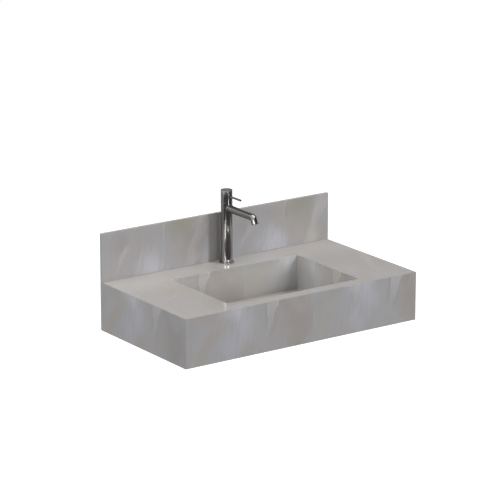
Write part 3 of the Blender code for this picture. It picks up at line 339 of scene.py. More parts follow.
# Ramps: from one value to another, and what they turn into where that isn't nought to one
PATCH_EDGE = (1.1, 0.1)
PATCH_FRAY = (0.25, 0.75, 0.30, -0.30)
STREAK_EDGE = (-0.15, 0.60)
STREAK_END = (1.0, 0.80)
STREAK_SPLIT = (0.35, 0.60, 0.60, 1.0)
COOL_SHARE = (0.35, 0.62, 0.0, 0.55)
WARM_SHARE = (0.50, 0.72, 0.0, 0.55)
FIBRE_SHADE = (0.3, 0.7, 0.985, 1.015)
GRAIN_SHADE = (0.3, 0.7, 0.975, 1.025)
# Painted light: the deck lighter towards its rear
DECK_REAR_PAINTED_LIGHT = (0.60, 0.76, 1.0, 1.14)
# Painted shade: the run over which the sides' front ends turn darker
SIDE_FRONT_SHADE_RUN = (0.36, 0.46)
UPRIGHT_POLISH = (0.3, 0.7, 0.30, 0.36)
FLAT_POLISH = (0.3, 0.7, 0.05, 0.10)
BASIN_TOP = (DECK - 0.001, DECK - 0.003)
BASIN_SIDES = (0.287, 0.284)
BASIN_FRONT = (-0.500, -0.495)
BASIN_BACK = (-0.108, -0.112)
# Painted shade: the basin darker towards its bottom
BASIN_DEPTH_PAINTED_SHADE = (DECK - 0.04, DECK - 0.12, 1.0, 0.80)
# Soft patches: centre and size across and up, tilt, colour, strength
STONE_PATCHES = [
    ((0.245, -0.055), (0.062, 0.085), 0, (172, 172, 179), 0.85),
    ((0.190, -0.135), (0.060, 0.075), 0, (170, 170, 178), 0.75),
    ((0.195, -0.015), (0.035, 0.040), 0, (169, 168, 175), 0.50),
    ((0.480, -0.090), (0.125, 0.130), 0, (154, 147, 144), 0.85),
    ((0.360, -0.060), (0.050, 0.075), -15, (148, 146, 143), 0.55),
    ((0.412, -0.016), (0.026, 0.040), 0, (149, 143, 137), 0.55),
    ((0.485, -0.042), (0.038, 0.034), -30, (166, 160, 166), 0.50),
    ((0.470, -0.165), (0.050, 0.040), 0, (152, 148, 138), 0.50),
    ((0.090, -0.018), (0.070, 0.034), 0, (160, 153, 149), 0.60),
    ((0.030, -0.155), (0.045, 0.040), 10, (165, 161, 155), 0.60),
    ((0.020, -0.040), (0.035, 0.055), 0, (152, 154, 152), 0.45),
    ((0.205, 0.025), (0.080, 0.085), 0, (186, 186, 192), 0.75),
    ((0.340, 0.165), (0.100, 0.085), 0, (151, 148, 139), 0.85),
    ((0.383, 0.020), (0.034, 0.065), -22, (179, 175, 169), 0.80),
    ((0.190, 0.140), (0.060, 0.050), 0, (160, 155, 156), 0.40),
    ((0.080, 0.125), (0.050, 0.070), 0, (153, 149, 147), 0.60),
    ((0.320, 0.045), (0.040, 0.032), 0, (170, 158, 157), 0.40),
    ((0.005, 0.060), (0.030, 0.100), 0, (162, 166, 169), 0.50),
    ((0.290, 0.466), (0.050, 0.070), 0, (166, 167, 173), 0.50),
    ((0.332, 0.716), (0.070, 0.080), 0, (162, 156, 149), 0.50),
    ((0.150, 0.600), (0.090, 0.130), 0, (166, 162, 154), 0.50),
]
# Streaks that widen from a tip: tip, far end, half width there, colour, strength
STONE_STREAKS = [
    ((0.336, -0.135), (0.374, 0.012), 0.030, (174, 172, 175), 0.85),
    ((0.336, -0.155), (0.352, 0.012), 0.006, (182, 180, 184), 0.60),
    ((0.338, -0.135), (0.398, 0.012), 0.007, (182, 180, 183), 0.65),
    ((0.345, -0.010), (0.455, 0.200), 0.045, (175, 172, 170), 0.85),
    ((0.350, 0.000), (0.420, 0.160), 0.008, (181, 178, 178), 0.55),
    ((0.365, 0.010), (0.480, 0.190), 0.007, (180, 177, 176), 0.50),
    ((0.035, 0.000), (0.115, 0.120), 0.022, (177, 174, 172), 0.85),
    ((0.258, 0.030), (0.262, 0.200), 0.009, (176, 173, 174), 0.65),
    ((0.345, 0.375), (0.470, 0.650), 0.030, (174, 171, 170), 0.70),
    ((0.020, 0.465), (0.140, 0.570), 0.012, (173, 171, 170), 0.50),
    ((0.331, -0.120), (0.340, 0.012), 0.006, (143, 139, 138), 0.40),
    ((0.345, -0.120), (0.408, 0.012), 0.006, (146, 141, 138), 0.35),
]


def patch_share(tree, place, fray, centre, size, tilt, strength):
    """How much of a soft patch with a frayed edge lies at the place."""
    distance = tree.vector("LENGTH", tree.into(place, centre, size, tilt))
    return tree.ramp(tree.work("ADD", distance, fray), *PATCH_EDGE, 0.0, strength)


def streak_share(tree, place, threads, tip, end, half_width, strength):
    """How much of a thready streak that widens from its tip lies at the place."""
    along = Vector(end) - Vector(tip)
    tilt = -math.degrees(math.atan2(along.x, along.y))
    inside = tree.axes(tree.into(place, tip, (half_width, along.length), tilt))
    edge = tree.work("SUBTRACT", inside["Y"], tree.work("ABSOLUTE", inside["X"]))
    body = tree.ramp(edge, *STREAK_EDGE, 0.0, strength)
    fade = tree.ramp(inside["Y"], *STREAK_END)
    return tree.work("MULTIPLY", tree.work("MULTIPLY", body, fade), threads)


def stone_place(tree):
    """Each face's own flat coordinates, across and up in metres, and whether it is flat or a side."""
    place = tree.axes(tree.place())
    normal = tree.axes(tree.place("Normal"))
    is_side = tree.work("GREATER_THAN", tree.work("ABSOLUTE", normal["X"]), FACE_LIMIT)
    is_flat = tree.work("GREATER_THAN", tree.work("ABSOLUTE", normal["Z"]), FACE_LIMIT)
    from_left = tree.work("ADD", place["X"], HALF_WIDTH)
    from_wall = tree.work("MULTIPLY", place["Y"], -1.0)
    rise = tree.work("SUBTRACT", place["Z"], DECK)
    run = tree.work("ADD", place["Y"], DECK_OFFSET)
    across = tree.choose(is_side, from_left, from_wall)
    up = tree.choose(is_flat, rise, run)
    return tree.join(across, up), is_flat, is_side


def tile_place(tree, place):
    """The place within one repeat of the printed slab, moved a little so that edges wander."""
    centred = tree.vector("SUBTRACT", tree.noise(place, DRIFT_NOISE, "Color"), NOISE_MIDDLE)
    drift = tree.vector("MULTIPLY", centred, DRIFT_REACH)
    parts = tree.axes(place)
    tile = tree.join(tree.work("FLOORED_MODULO", parts["X"], REPEAT), parts["Y"])
    return tree.vector("ADD", tile, drift)


def basin_share(tree):
    """One inside the basin and nought elsewhere, and the painted shade that darkens it with the depth."""
    place = tree.axes(tree.place())
    below = tree.ramp(place["Z"], *BASIN_TOP, smooth=False)
    between = tree.ramp(tree.work("ABSOLUTE", place["X"]), *BASIN_SIDES, smooth=False)
    behind = tree.ramp(place["Y"], *BASIN_FRONT, smooth=False)
    before = tree.ramp(place["Y"], *BASIN_BACK, smooth=False)
    sunk = tree.work("MULTIPLY", below, between)
    share = tree.work("MULTIPLY", sunk, tree.work("MULTIPLY", behind, before))
    return share, tree.ramp(place["Z"], *BASIN_DEPTH_PAINTED_SHADE, smooth=False)


def add_clouds(tree, slanted, clouds):
    """The stone's ground: cool and warm clouds on grey."""
    colour = tree.mix(tree.ramp(clouds, *COOL_SHARE), STONE_BASE, STONE_COOL)
    return tree.mix(tree.ramp(tree.noise(slanted, WARM_NOISE), *WARM_SHARE), colour, STONE_WARM)


def add_veins(tree, colour, place, fibres):
    """The slab's larger patches and streaks, over the ground."""
    tile = tile_place(tree, place)
    fray = tree.ramp(fibres, *PATCH_FRAY, smooth=False)
    threads = tree.noise(tree.into(place, (0, 0), THREAD_SIZE, FIBRE_TILT), THREAD_NOISE)
    split = tree.ramp(threads, *STREAK_SPLIT)
    for centre, size, tilt, shade, strength in STONE_PATCHES:
        colour = tree.mix(patch_share(tree, tile, fray, centre, size, tilt, strength), colour, tint(*shade))
    for tip, end, half_width, shade, strength in STONE_STREAKS:
        share = streak_share(tree, tile, split, tip, end, half_width, strength)
        colour = tree.mix(share, colour, tint(*shade))
    return colour


def paint_face_light(tree, colour, place, is_flat, is_side):
    """Painted light and shade that differ between the deck, the side's front end and the basin."""
    # Painted light on flat faces, lighter towards the deck's rear
    rear_light = tree.ramp(tree.axes(place)["Y"], *DECK_REAR_PAINTED_LIGHT)
    colour = tree.mix(is_flat, colour, tree.times(tree.times(colour, FLAT_PAINTED_TOP_LIGHT), rear_light))
    # Painted shade on the sides' front ends
    ends = tree.work("MULTIPLY", is_side, tree.ramp(tree.vector("LENGTH", place), *SIDE_FRONT_SHADE_RUN))
    colour = tree.mix(ends, colour, tree.times(colour, SIDE_FRONT_PAINTED_SHADE))
    # Painted bounced light in the basin, and painted shade with its depth
    inside, depth = basin_share(tree)
    basin_lit = tree.times(tree.times(colour, BASIN_PAINTED_BOUNCE_LIGHT), depth)
    basin_lit = tree.mix(is_side, basin_lit, tree.times(basin_lit, BASIN_SIDE_PAINTED_LIGHT))
    return tree.mix(inside, colour, basin_lit)


def stone_material():
    """Polished sintered stone: soft clouds, frayed patches, pale thready streaks, a fine grain, and painted
    light and shade by face.
    """
    tree = new_material("polished_stone")
    place, is_flat, is_side = stone_place(tree)
    slanted = tree.into(place, (0, 0), CLOUD_SIZE, CLOUD_TILT)
    clouds = tree.noise(slanted, CLOUD_NOISE)
    fibres = tree.noise(tree.into(place, (0, 0), FIBRE_SIZE, FIBRE_TILT), FIBRE_NOISE)
    colour = add_veins(tree, add_clouds(tree, slanted, clouds), place, fibres)
    colour = tree.times(colour, tree.ramp(fibres, *FIBRE_SHADE, smooth=False))
    colour = tree.times(colour, tree.ramp(tree.noise(place, GRAIN_NOISE), *GRAIN_SHADE, smooth=False))
    tree.feed(tree.shader.inputs["Base Color"], paint_face_light(tree, colour, place, is_flat, is_side))
    upright = tree.ramp(clouds, *UPRIGHT_POLISH, smooth=False)
    flat = tree.ramp(clouds, *FLAT_POLISH, smooth=False)
    tree.feed(tree.shader.inputs["Roughness"], tree.choose(is_flat, upright, flat))
    tree.shader.inputs["IOR"].default_value = STONE_IOR
    return tree.owner


# Metals by slot: name, colour, least and most roughness
METALS = {
    "gunmetal": ("polished_gunmetal", (0.32, 0.314, 0.310, 1), 0.07, 0.12),
    "steel": ("zinc_plated_steel", (0.52, 0.53, 0.54, 1), 0.28, 0.42),
    "brass": ("machined_brass", (0.72, 0.53, 0.26, 1), 0.22, 0.34),
}
WEAR_NOISE = (220.0, 3.0, 0.6)
WEAR_RANGE = (0.3, 0.7)
# Dull materials by slot: name, two tones, roughness, scale of the speckle, depth of the bump
DULLS = {
    "rubber": ("black_rubber", (0.02, 0.02, 0.02, 1), (0.04, 0.04, 0.04, 1), 0.8, 900, 0.0001),
    "polymer": ("moulded_polymer", (0.62, 0.62, 0.60, 1), (0.70, 0.70, 0.68, 1), 0.45, 700, 0.00005),
    "sealant": ("pale_sealant", (0.28, 0.27, 0.255, 1), (0.33, 0.32, 0.30, 1), 0.5, 300, 0.0001),
    "painted_frame": ("black_powder_coat", (0.025, 0.025, 0.027, 1), (0.04, 0.04, 0.043, 1),
                      0.5, 1200, 0.0001),
}
SPECKLE_DETAIL = 4.0
SPECKLE_ROUGHNESS = 0.6
SPECKLE_RANGE = (0.35, 0.65)
BUMP_STRENGTH = 0.3


def metal_material(name, colour, low, high):
    """A metal whose polish varies a little over the surface."""
    tree = new_material(name)
    wear = tree.noise(tree.place(), WEAR_NOISE)
    tree.feed(tree.shader.inputs["Base Color"], colour)
    tree.shader.inputs["Metallic"].default_value = 1.0
    tree.feed(tree.shader.inputs["Roughness"], tree.ramp(wear, *WEAR_RANGE, low, high, smooth=False))
    return tree.owner


def dull_material(name, first, second, roughness, scale, bump):
    """Rubber, plastic, sealant or paint: two close tones and a fine bump."""
    tree = new_material(name)
    speckle = tree.noise(tree.place(), (scale, SPECKLE_DETAIL, SPECKLE_ROUGHNESS))
    tree.feed(tree.shader.inputs["Base Color"], tree.mix(tree.ramp(speckle, *SPECKLE_RANGE), first, second))
    tree.shader.inputs["Roughness"].default_value = roughness
    relief = tree.add("ShaderNodeBump")
    relief.inputs["Strength"].default_value = BUMP_STRENGTH
    relief.inputs["Distance"].default_value = bump
    tree.feed(relief.inputs["Height"], speckle)
    tree.feed(tree.shader.inputs["Normal"], relief.outputs[0])
    return tree.owner


def make_looks():
    """One material for each slot of the record."""
    looks = {"stone": stone_material()}
    for slot, values in METALS.items():
        looks[slot] = metal_material(*values)
    for slot, values in DULLS.items():
        looks[slot] = dull_material(*values)
    return looks


def dress_nodes(frame, looks):
    """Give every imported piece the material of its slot."""
    for part in frame["record"]["subparts"]:
        node = frame["nodes"][part["node"]]
        node.data.materials.clear()
        node.data.materials.append(looks[part["material_slot"]])


def smooth_shade(mesh):
    """Smooth shading with crisp edges."""
    mesh.polygons.foreach_set("use_smooth", [True] * len(mesh.polygons))
    mesh.set_sharp_from_angle(angle=SHARP_ANGLE)


def finished(name, shape, move):
    """A new object of the shape's faces, put in its place."""
    bmesh.ops.recalc_face_normals(shape, faces=shape.faces)
    mesh = bpy.data.meshes.new(name)
    shape.to_mesh(mesh)
    shape.free()
    mesh.transform(move)
    smooth_shade(mesh)
    piece = bpy.data.objects.new(name, mesh)
    bpy.context.scene.collection.objects.link(piece)
    return piece


def lathe(name, profile, place=(0, 0, 0), turn=None, steps=FINE_STEPS):
    """A closed turned solid. The profile's points are (radius, height)."""
    shape = bmesh.new()
    angles = [2 * math.pi * (index + 0.5) / steps for index in range(steps)]
    rings = []
    for radius, height in profile:
        ring = [(radius * math.cos(a), radius * math.sin(a), height) for a in (angles if radius else [0])]
        rings.append([shape.verts.new(point) for point in ring])
    pairs = list(zip(rings, rings[1:]))
    if profile[0][0] > 0 or profile[-1][0] > 0:
        pairs.append((rings[-1], rings[0]))
    for low, high in pairs:
        stitch(shape, low, high)
    move = Matrix.Translation(place)
    return finished(name, shape, move @ turn.to_4x4() if turn else move)


def stitch(shape, low, high):
    """Faces between two rings, one of which may be a single point on the axis."""
    count = max(len(low), len(high))
    for index in range(count):
        after = (index + 1) % count
        if len(low) == 1:
            shape.faces.new((low[0], high[index], high[after]))
        elif len(high) == 1:
            shape.faces.new((low[index], high[0], low[after]))
        else:
            shape.faces.new((low[index], high[index], high[after], low[after]))


def sweep(name, route, radii):
    """A round solid bar along a route in the tap's middle plane, from the tap's foot."""
    shape = bmesh.new()
    across = Vector((1, 0, 0))
    rings = []
    for index, point in enumerate(route):
        before = route[max(index - 1, 0)]
        after = route[min(index + 1, len(route) - 1)]
        way = (Vector(after) - Vector(before)).normalized()
        above = way.cross(across).normalized()
        ring = []
        for side in range(SPOUT_SIDES):
            angle = 2 * math.pi * side / SPOUT_SIDES
            spot = Vector(point) + radii[index] * (math.cos(angle) * across + math.sin(angle) * above)
            ring.append(shape.verts.new(spot))
        rings.append(ring)
    for low, high in zip(rings, rings[1:]):
        stitch(shape, low, high)
    shape.faces.new(rings[0])
    shape.faces.new(rings[-1])
    return finished(name, shape, Matrix.Translation(TAP_AXIS))


def combine(piece, tool, operation="DIFFERENCE"):
    """Cut the tool out of the piece, or add it, and drop the tool."""
    change = piece.modifiers.new("change", "BOOLEAN")
    change.operation = operation
    change.solver = "EXACT"
    change.object = tool
    bpy.context.view_layer.update()
    whole = piece.evaluated_get(bpy.context.evaluated_depsgraph_get())
    mesh = bpy.data.meshes.new_from_object(whole)
    piece.modifiers.clear()
    piece.data = mesh
    bpy.data.objects.remove(tool)
    smooth_shade(mesh)


def rod(radius, start, end, centre, turn=None, steps=FINE_STEPS):
    """A plain round bar for cutting or joining."""
    return lathe("tool", [(0, start), (radius, start), (radius, end), (0, end)], centre, turn, steps)


def quarter_round(radius, height, size):
    """The corner of a profile, from the top face round to the side."""
    points = []
    for index in range(ROUND_STEPS + 1):
        angle = math.pi / 2 * index / ROUND_STEPS
        points.append((radius - size + size * math.sin(angle), height - size + size * math.cos(angle)))
    return points


def arc(centre, sphere, start, end):
    """Points on a sphere's profile between two radii, centred on the axis at that height."""
    points = []
    for index in range(ARC_STEPS + 1):
        radius = start + (end - start) * index / ARC_STEPS
        points.append((radius, centre + math.sqrt(sphere ** 2 - radius ** 2)))
    return points


def above_tap(height):
    """A point on the tap's axis, at that height above the deck."""
    return (TAP_AXIS[0], TAP_AXIS[1], TAP_AXIS[2] + height)


def stand_for(piece, node, body, slot, looks):
    """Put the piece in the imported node's place, body and finish."""
    piece.data.materials.clear()
    piece.data.materials.append(looks[slot])
    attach(piece, body)
    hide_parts(node)


def make_body(looks):
    """The upright tube and the flange at its foot."""
    profile = [(COUNTERBORE, BODY_TOP), (BODY_RADIUS, BODY_TOP), (BODY_RADIUS, BODY_FOOT),
               (BODY_BORE, BODY_FOOT), (BODY_BORE, PIVOT), (COUNTERBORE, PIVOT)]
    body = lathe("body_tube", profile, TAP_AXIS)
    stand_for(body, "tap_body", "vanity", "gunmetal", looks)
    profile = quarter_round(FLANGE_RADIUS, FLANGE_HEIGHT, FLANGE_ROUND)
    profile += [(FLANGE_RADIUS, FLANGE_FOOT), (BODY_BORE, FLANGE_FOOT), (BODY_BORE, FLANGE_HEIGHT)]
    flange = lathe("base_flange", profile, TAP_AXIS)
    stand_for(flange, "tap_base_flange", "vanity", "gunmetal", looks)


def make_dome(looks):
    """The domed nut that fills the hollow under the handle cap."""
    edge = math.sqrt(DOME_SPHERE ** 2 - (DOME_REST - PIVOT) ** 2)
    profile = arc(PIVOT, DOME_SPHERE, DOME_HOLE, edge)
    profile += [(DOME_THREAD, DOME_REST), (DOME_THREAD, DOME_FOOT), (DOME_HOLE, DOME_FOOT)]
    stand_for(lathe("domed_nut", profile, TAP_AXIS), "dome_nut", "vanity", "gunmetal", looks)


def make_cap(looks):
    """The handle cap with the lever's socket and the grub screw's hole."""
    inner = BODY_RADIUS - CAP_WALL
    profile = [(0, TAP_TOP)] + quarter_round(BODY_RADIUS, TAP_TOP, CAP_ROUND) + [(BODY_RADIUS, CAP_RIM)]
    profile += arc(PIVOT, CAP_SPHERE, BODY_RADIUS - CAP_RIM_EDGE, inner)
    profile += [(inner, TAP_TOP - CAP_TOP), (CAP_BOSS, TAP_TOP - CAP_TOP), (CAP_BOSS, CAP_BOSS_FOOT),
                (SPINDLE_HOLE, CAP_BOSS_FOOT), (SPINDLE_HOLE, SPINDLE_TOP), (0, SPINDLE_TOP)]
    cap = lathe("cap_shell", profile, TAP_AXIS)
    lever = above_tap(LEVER_HEIGHT)
    outside = BODY_RADIUS + OVERRUN
    combine(cap, rod(LEVER_RADIUS + CLEARANCE, CAP_BOSS + CLEARANCE, outside, lever, FORWARD, PIN_STEPS))
    combine(cap, rod(LEVER_SOCKET, BODY_RADIUS - LEVER_SOCKET_DEPTH, outside, lever, FORWARD, PIN_STEPS))
    grub = above_tap(LEVER_HEIGHT - GRUB_BELOW_LEVER)
    combine(cap, rod(GRUB_HOLE, -outside, -SPINDLE_HOLE, grub, FORWARD, HOLE_STEPS))
    stand_for(cap, "handle_cap", "handle", "gunmetal", looks)


def make_lever(looks):
    """The thin lever pin with its softened tip."""
    profile = [(0, LEVER_REACH)] + quarter_round(LEVER_RADIUS, LEVER_REACH, LEVER_ROUND)
    profile += [(LEVER_RADIUS, LEVER_ROOT), (0, LEVER_ROOT)]
    lever = lathe("lever_pin", profile, above_tap(LEVER_HEIGHT), FORWARD, PIN_STEPS)
    stand_for(lever, "handle_lever", "handle", "gunmetal", looks)


def spout_route(start):
    """The spout's centre line from that distance in front of the axis: straight, then bent down."""
    drop = SPOUT_BEND_RADIUS * (1 - math.cos(SPOUT_BEND))
    run = SPOUT_BEND_RADIUS * math.sin(SPOUT_BEND)
    end = (SPOUT_DROP - drop) / math.sin(SPOUT_BEND)
    bend = SPOUT_REACH - run - end * math.cos(SPOUT_BEND)
    route = [(0, -start, SPOUT_HEIGHT), (0, -(start + bend) / 2, SPOUT_HEIGHT)]
    for index in range(BEND_STEPS + 1):
        angle = SPOUT_BEND * index / BEND_STEPS
        route.append((0, -bend - SPOUT_BEND_RADIUS * math.sin(angle),
                      SPOUT_HEIGHT - SPOUT_BEND_RADIUS * (1 - math.cos(angle))))
    route.append((0, -SPOUT_REACH, SPOUT_HEIGHT - SPOUT_DROP))
    return route


def spout_radii(route, less=0.0):
    """Radii that taper evenly from the spout's root to its tip."""
    return [SPOUT_RADIUS + (SPOUT_TIP - SPOUT_RADIUS) * -place[1] / SPOUT_REACH - less for place in route]


def make_spout(looks, outlet):
    """The tapered spout with its open end and the aerator's seat."""
    route = spout_route(BODY_BORE)
    spout = sweep("spout_tube", route, spout_radii(route))
    combine(spout, rod(BODY_RADIUS + CLEARANCE, 0, TAP_TOP, TAP_AXIS))
    way = (Vector(route[-1]) - Vector(route[-2])).normalized()
    route = spout_route(BODY_RADIUS + COLLAR_LENGTH)
    route.append(tuple(Vector(route[-1]) + OVERRUN * way))
    combine(spout, sweep("tool", route, spout_radii(route, SPOUT_WALL)))
    combine(spout, rod(AERATOR_SEAT + CLEARANCE, -AERATOR_LENGTH - CLEARANCE, OVERRUN, outlet, OUTLET))
    stand_for(spout, "tap_spout", "vanity", "gunmetal", looks)


def make_collar(looks):
    """The collar round the spout's root, fitted to the body tube."""
    far = BODY_RADIUS + COLLAR_LENGTH
    profile = quarter_round(COLLAR_RADIUS, far, COLLAR_ROUND)
    profile += [(COLLAR_RADIUS, far - COLLAR_RADIUS), (SPOUT_RADIUS + CLEARANCE, far - COLLAR_RADIUS),
                (SPOUT_RADIUS + CLEARANCE, far)]
    collar = lathe("root_collar", profile, above_tap(SPOUT_HEIGHT), FORWARD)
    combine(collar, rod(BODY_RADIUS + CLEARANCE, 0, TAP_TOP, TAP_AXIS))
    stand_for(collar, "spout_collar", "vanity", "gunmetal", looks)


def make_outlet_ring(looks, outlet):
    """The aerator's housing in the spout's end."""
    profile = [(AERATOR_BORE, AERATOR_LIP), (AERATOR_RADIUS - AERATOR_BEVEL, AERATOR_LIP),
               (AERATOR_RADIUS, AERATOR_LIP - AERATOR_BEVEL), (AERATOR_RADIUS, CLEARANCE),
               (AERATOR_SEAT, CLEARANCE), (AERATOR_SEAT, -AERATOR_LENGTH), (AERATOR_BORE, -AERATOR_LENGTH)]
    ring = lathe("outlet_ring", profile, outlet, OUTLET)
    stand_for(ring, "aerator_housing", "vanity", "gunmetal", looks)


def spider_bar(turn):
    """One of the two crossed bars that hold the waste's hub."""
    corner = WASTE_SPIDER_WIDTH / math.sqrt(2)
    reach = (WASTE_BORE + WASTE_PIPE) / 2
    stretch = (WASTE_SPIDER_TOP - WASTE_SPIDER_FOOT) / WASTE_SPIDER_WIDTH
    middle = (WASTE_SPIDER_TOP + WASTE_SPIDER_FOOT) / 2
    bar = lathe("tool", [(0, -reach), (corner, -reach), (corner, reach), (0, reach)], steps=4)
    bar.data.transform(Matrix.Diagonal((1, stretch, 1, 1)))
    bar.data.transform(FORWARD.to_4x4())
    bar.data.transform(Matrix.Rotation(turn, 4, "Z"))
    bar.data.transform(Matrix.Translation(Vector(WASTE_AXIS) + Vector((0, 0, middle))))
    return bar


def make_waste(looks):
    """The flanged waste with its spider, and the tail below it."""
    seat = WASTE_FLANGE - WASTE_RIM
    profile = [(seat, WASTE_FLANGE_TOP), (WASTE_FLANGE - WASTE_BEVEL, WASTE_FLANGE_FOOT + WASTE_SHOULDER),
               (WASTE_FLANGE, WASTE_FLANGE_FOOT + WASTE_EDGE), (WASTE_FLANGE, WASTE_FLANGE_FOOT),
               (WASTE_PIPE, WASTE_FLANGE_FOOT), (WASTE_PIPE, WASTE_BOTTOM), (WASTE_BORE, WASTE_BOTTOM),
               (WASTE_BORE, WASTE_FLANGE_FOOT), (seat - WASTE_BEVEL, WASTE_FLANGE_FOOT + WASTE_BEVEL)]
    body = lathe("waste_pipe", profile, WASTE_AXIS)
    combine(body, spider_bar(0), "UNION")
    combine(body, spider_bar(math.pi / 2), "UNION")
    combine(body, rod(WASTE_HUB, WASTE_SPIDER_FOOT, WASTE_SPIDER_TOP, WASTE_AXIS), "UNION")
    combine(body, rod(WASTE_HUB_BORE, WASTE_SPIDER_FOOT - OVERRUN, WASTE_SPIDER_TOP + OVERRUN, WASTE_AXIS))
    stand_for(body, "waste_body", "vanity", "gunmetal", looks)
    profile = [(TAIL_BORE, TAIL_TOP), (TAIL_RADIUS, TAIL_TOP), (TAIL_RADIUS, TAIL_FOOT),
               (TAIL_BORE, TAIL_FOOT)]
    stand_for(lathe("tail_pipe", profile, WASTE_AXIS), "waste_tail", "vanity", "gunmetal", looks)


def make_plug(looks):
    """The plug with its domed top and its stem."""
    top = PLUG_FOOT + PLUG_EDGE
    profile = []
    for index in range(ARC_STEPS + 1):
        angle = math.pi / 2 * index / ARC_STEPS
        profile.append((PLUG_RADIUS * math.sin(angle), top + PLUG_CROWN * math.cos(angle)))
    profile += [(PLUG_RADIUS, PLUG_FOOT), (PLUG_STEM, PLUG_FOOT), (PLUG_STEM, PLUG_STEM_FOOT),
                (0, PLUG_STEM_FOOT)]
    stand_for(lathe("plug_button", profile, WASTE_AXIS), "plug_cap", "plug", "gunmetal", looks)


def make_seal(looks):
    """The bed of sealant under the upstand with the narrow bead in front of it."""
    low = DECK + CLEARANCE
    high = UPSTAND_FOOT - CLEARANCE
    profile = [(-SEAL_SETBACK, low), (UPSTAND_FACE - BEAD_WIDTH, low),
               (UPSTAND_FACE - BEAD_HOLLOW[0] * BEAD_WIDTH, low + BEAD_HOLLOW[1] * BEAD_HEIGHT),
               (SEAL_FRONT - BEAD_LIP, low + BEAD_HEIGHT), (SEAL_FRONT, low + BEAD_HEIGHT),
               (SEAL_FRONT, high), (-SEAL_SETBACK, high)]
    shape = bmesh.new()
    rings = [[shape.verts.new((x, y, z)) for y, z in profile]
             for x in (-HALF_WIDTH + SEAL_SETBACK, HALF_WIDTH - SEAL_SETBACK)]
    stitch(shape, *rings)
    shape.faces.new(rings[0])
    shape.faces.new(rings[1])
    seal = finished("seal_bead", shape, Matrix.Identity(4))
    stand_for(seal, "upstand_seal", "vanity", "sealant", looks)


def make_pieces(looks):
    """Finer pieces for the round parts that show, and the bead along the upstand."""
    outlet = Vector(TAP_AXIS) + Vector((0, -SPOUT_REACH, SPOUT_HEIGHT - SPOUT_DROP))
    make_body(looks)
    make_dome(looks)
    make_cap(looks)
    make_lever(looks)
    make_spout(looks, outlet)
    make_collar(looks)
    make_outlet_ring(looks, outlet)
    make_waste(looks)
    make_plug(looks)
    make_seal(looks)


def around_tap(azimuth, elevation, distance):
    """A place at that compass direction from the front, height angle and distance."""
    az = math.radians(azimuth)
    el = math.radians(elevation)
    way = Vector((math.sin(az) * math.cos(el), -math.cos(az) * math.cos(el), math.sin(el)))
    return Vector(TAP_AXIS) + distance * way


# Surround and floor
AMBIENT = 0.20
FLOOR_SIZE = 14
FLOOR_LEVEL = DECK - 0.85
FLOOR_COLOUR = (0.3, 0.3, 0.3, 1)
FLOOR_ROUGHNESS = 0.9
FLOOR_GLOW = 0.975
UNIT_MIDDLE = (0, -0.27, 0)
# Lamps: name, direction and distance from the tap, target, size, brightness, whether it is mirrored
LAMPS = [
    ("key", (34, 35, 9.0), TAP_AXIS, (1.2, 5.4), 26.0, False),
    ("fill", (-95, 38, 4.0), TAP_AXIS, (3.0, 1.6), 4.7, False),
    ("strip", (-61, 16.0, 5.0), TAP_AXIS, (1.7, 0.5), 9.5, True),
    ("front_strip", (-5, 16.0, 5.0), TAP_AXIS, (1.9, 0.30), 14.0, True),
    ("top", (0, 80, 4.0), UNIT_MIDDLE, (3.2, 3.2), 1.6, True),
    ("back", (-165, 8, 5.0), TAP_AXIS, (3.0, 2.0), 4.0, True),
]
HIGH_PLACE = around_tap(22, 40, 3.6)
UPWARD = (0, 0, 1)
# Cards behind the upstand, before the spout and on the floor: name, centre, size, facing, grey
CARDS = [
    ("back_card", (1.9, 2.7, DECK + 0.90), (7.0, 1.9), (-0.57, -0.82, 0.0), 0.36),
    ("left_back_card", (-2.2, 3.3, DECK + 0.60), (5.0, 1.9), (0.55, -0.83, 0.0), 0.42),
    ("high_back_card", (1.2, 2.3, DECK + 3.0), (9.0, 3.2), (-0.4, -0.6, -0.69), 0.20),
    ("front_high_card", HIGH_PLACE, (6.8, 2.6), Vector(TAP_AXIS) - HIGH_PLACE, 0.08),
    ("left_floor_card", (-3.2, 2.4, FLOOR_LEVEL + 0.010), (5.6, 5.2), UPWARD, 0.42),
    ("front_floor_card", (0.0, -3.6, FLOOR_LEVEL + 0.015), (13.0, 6.8), UPWARD, 0.10),
]
CARD_NOISE = (3.0, 2.0, 0.5)
CARD_RANGE = (0.2, 0.8)
CARD_SPREAD = (0.95, 1.05)


def put_lamp(name, direction, target, size, radiance, mirrored):
    """A flat rectangular lamp that faces its target and shines with one brightness."""
    data = bpy.data.lights.new(name, "AREA")
    data.shape = "RECTANGLE"
    data.size, data.size_y = size
    data.energy = radiance * math.pi * size[0] * size[1]
    lamp = bpy.data.objects.new(name, data)
    lamp.location = around_tap(*direction)
    lamp.rotation_euler = (Vector(target) - lamp.location).to_track_quat("-Z", "Y").to_euler()
    lamp.visible_glossy = mirrored
    bpy.context.scene.collection.objects.link(lamp)


def put_card(name, centre, size, facing, grey):
    """A grey studio card that only reflections see, so that polished faces stay calm."""
    bpy.ops.mesh.primitive_plane_add(size=1, location=centre)
    card = bpy.context.object
    card.name = name
    card.scale = (*size, 1)
    card.rotation_euler = Vector(facing).to_track_quat("Z", "Y").to_euler()
    tree = new_material(name)
    tree.nodes.remove(tree.shader)
    glow = tree.add("ShaderNodeEmission")
    least, most = (share * grey for share in CARD_SPREAD)
    cloud = tree.noise(tree.place(), CARD_NOISE)
    tree.feed(glow.inputs["Color"], tree.ramp(cloud, *CARD_RANGE, least, most))
    tree.feed(tree.nodes["Material Output"].inputs["Surface"], glow.outputs[0])
    card.data.materials.append(tree.owner)
    card.visible_camera = False
    card.visible_diffuse = False
    card.visible_transmission = False
    card.visible_shadow = False


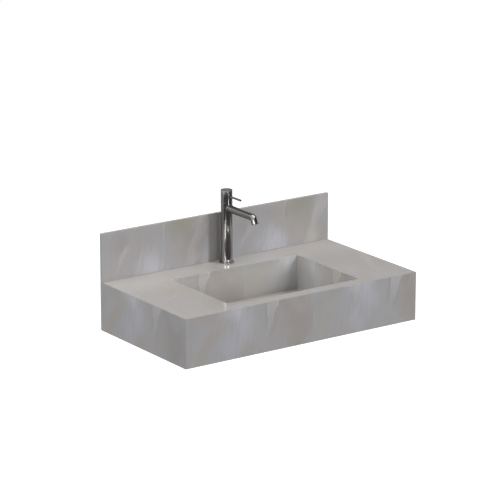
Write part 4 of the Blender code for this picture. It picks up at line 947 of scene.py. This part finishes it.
def seen_share(tree):
    """One for what the camera, a reflection or a clear body sees, nought for light on surfaces."""
    path = tree.add("ShaderNodeLightPath")
    seen = tree.work("MAXIMUM", path.outputs["Is Camera Ray"], path.outputs["Is Glossy Ray"])
    return tree.work("MAXIMUM", seen, path.outputs["Is Transmission Ray"])


def light_world():
    """A white surround to the eye and in reflections, and a soft grey light on everything."""
    tree = Tree(bpy.data.worlds.new("surround"))
    bpy.context.scene.world = tree.owner
    ambient = tree.nodes["Background"]
    ambient.inputs["Color"].default_value = WHITE
    ambient.inputs["Strength"].default_value = AMBIENT
    seen = tree.add("ShaderNodeBackground")
    seen.inputs["Color"].default_value = WHITE
    seen.inputs["Strength"].default_value = 1.0
    choice = tree.add("ShaderNodeMixShader")
    for socket, source in zip(choice.inputs, (seen_share(tree), ambient.outputs[0], seen.outputs[0])):
        tree.feed(socket, source)
    tree.feed(tree.nodes["World Output"].inputs["Surface"], choice.outputs[0])


def put_floor():
    """A plain pale floor under the hung unit, white to the eye where no shadow falls."""
    bpy.ops.mesh.primitive_plane_add(size=FLOOR_SIZE, location=(0, 0, FLOOR_LEVEL))
    floor = bpy.context.object
    floor.name = "floor"
    tree = new_material("pale_floor")
    tree.shader.inputs["Base Color"].default_value = FLOOR_COLOUR
    tree.shader.inputs["Roughness"].default_value = FLOOR_ROUGHNESS
    tree.shader.inputs["Emission Color"].default_value = WHITE
    tree.feed(tree.shader.inputs["Emission Strength"], tree.work("MULTIPLY", seen_share(tree), FLOOR_GLOW))
    floor.data.materials.append(tree.owner)


def light_scene():
    """The surround, the six lamps with the thin strips that the tap mirrors, the floor and the cards."""
    light_world()
    for lamp in LAMPS:
        put_lamp(*lamp)
    put_floor()
    for card in CARDS:
        put_card(*card)


with open("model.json") as file:
    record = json.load(file)
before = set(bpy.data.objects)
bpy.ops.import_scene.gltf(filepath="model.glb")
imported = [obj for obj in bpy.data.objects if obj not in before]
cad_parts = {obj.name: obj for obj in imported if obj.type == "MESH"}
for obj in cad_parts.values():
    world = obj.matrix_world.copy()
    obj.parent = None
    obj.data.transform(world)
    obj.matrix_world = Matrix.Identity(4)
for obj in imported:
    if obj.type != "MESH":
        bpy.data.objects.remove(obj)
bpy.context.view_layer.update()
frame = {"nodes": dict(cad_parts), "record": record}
bpy.context.scene.view_settings.view_transform = "Standard"
put_camera()
light_scene()
looks = make_looks()
dress_nodes(frame, looks)
make_pieces(looks)
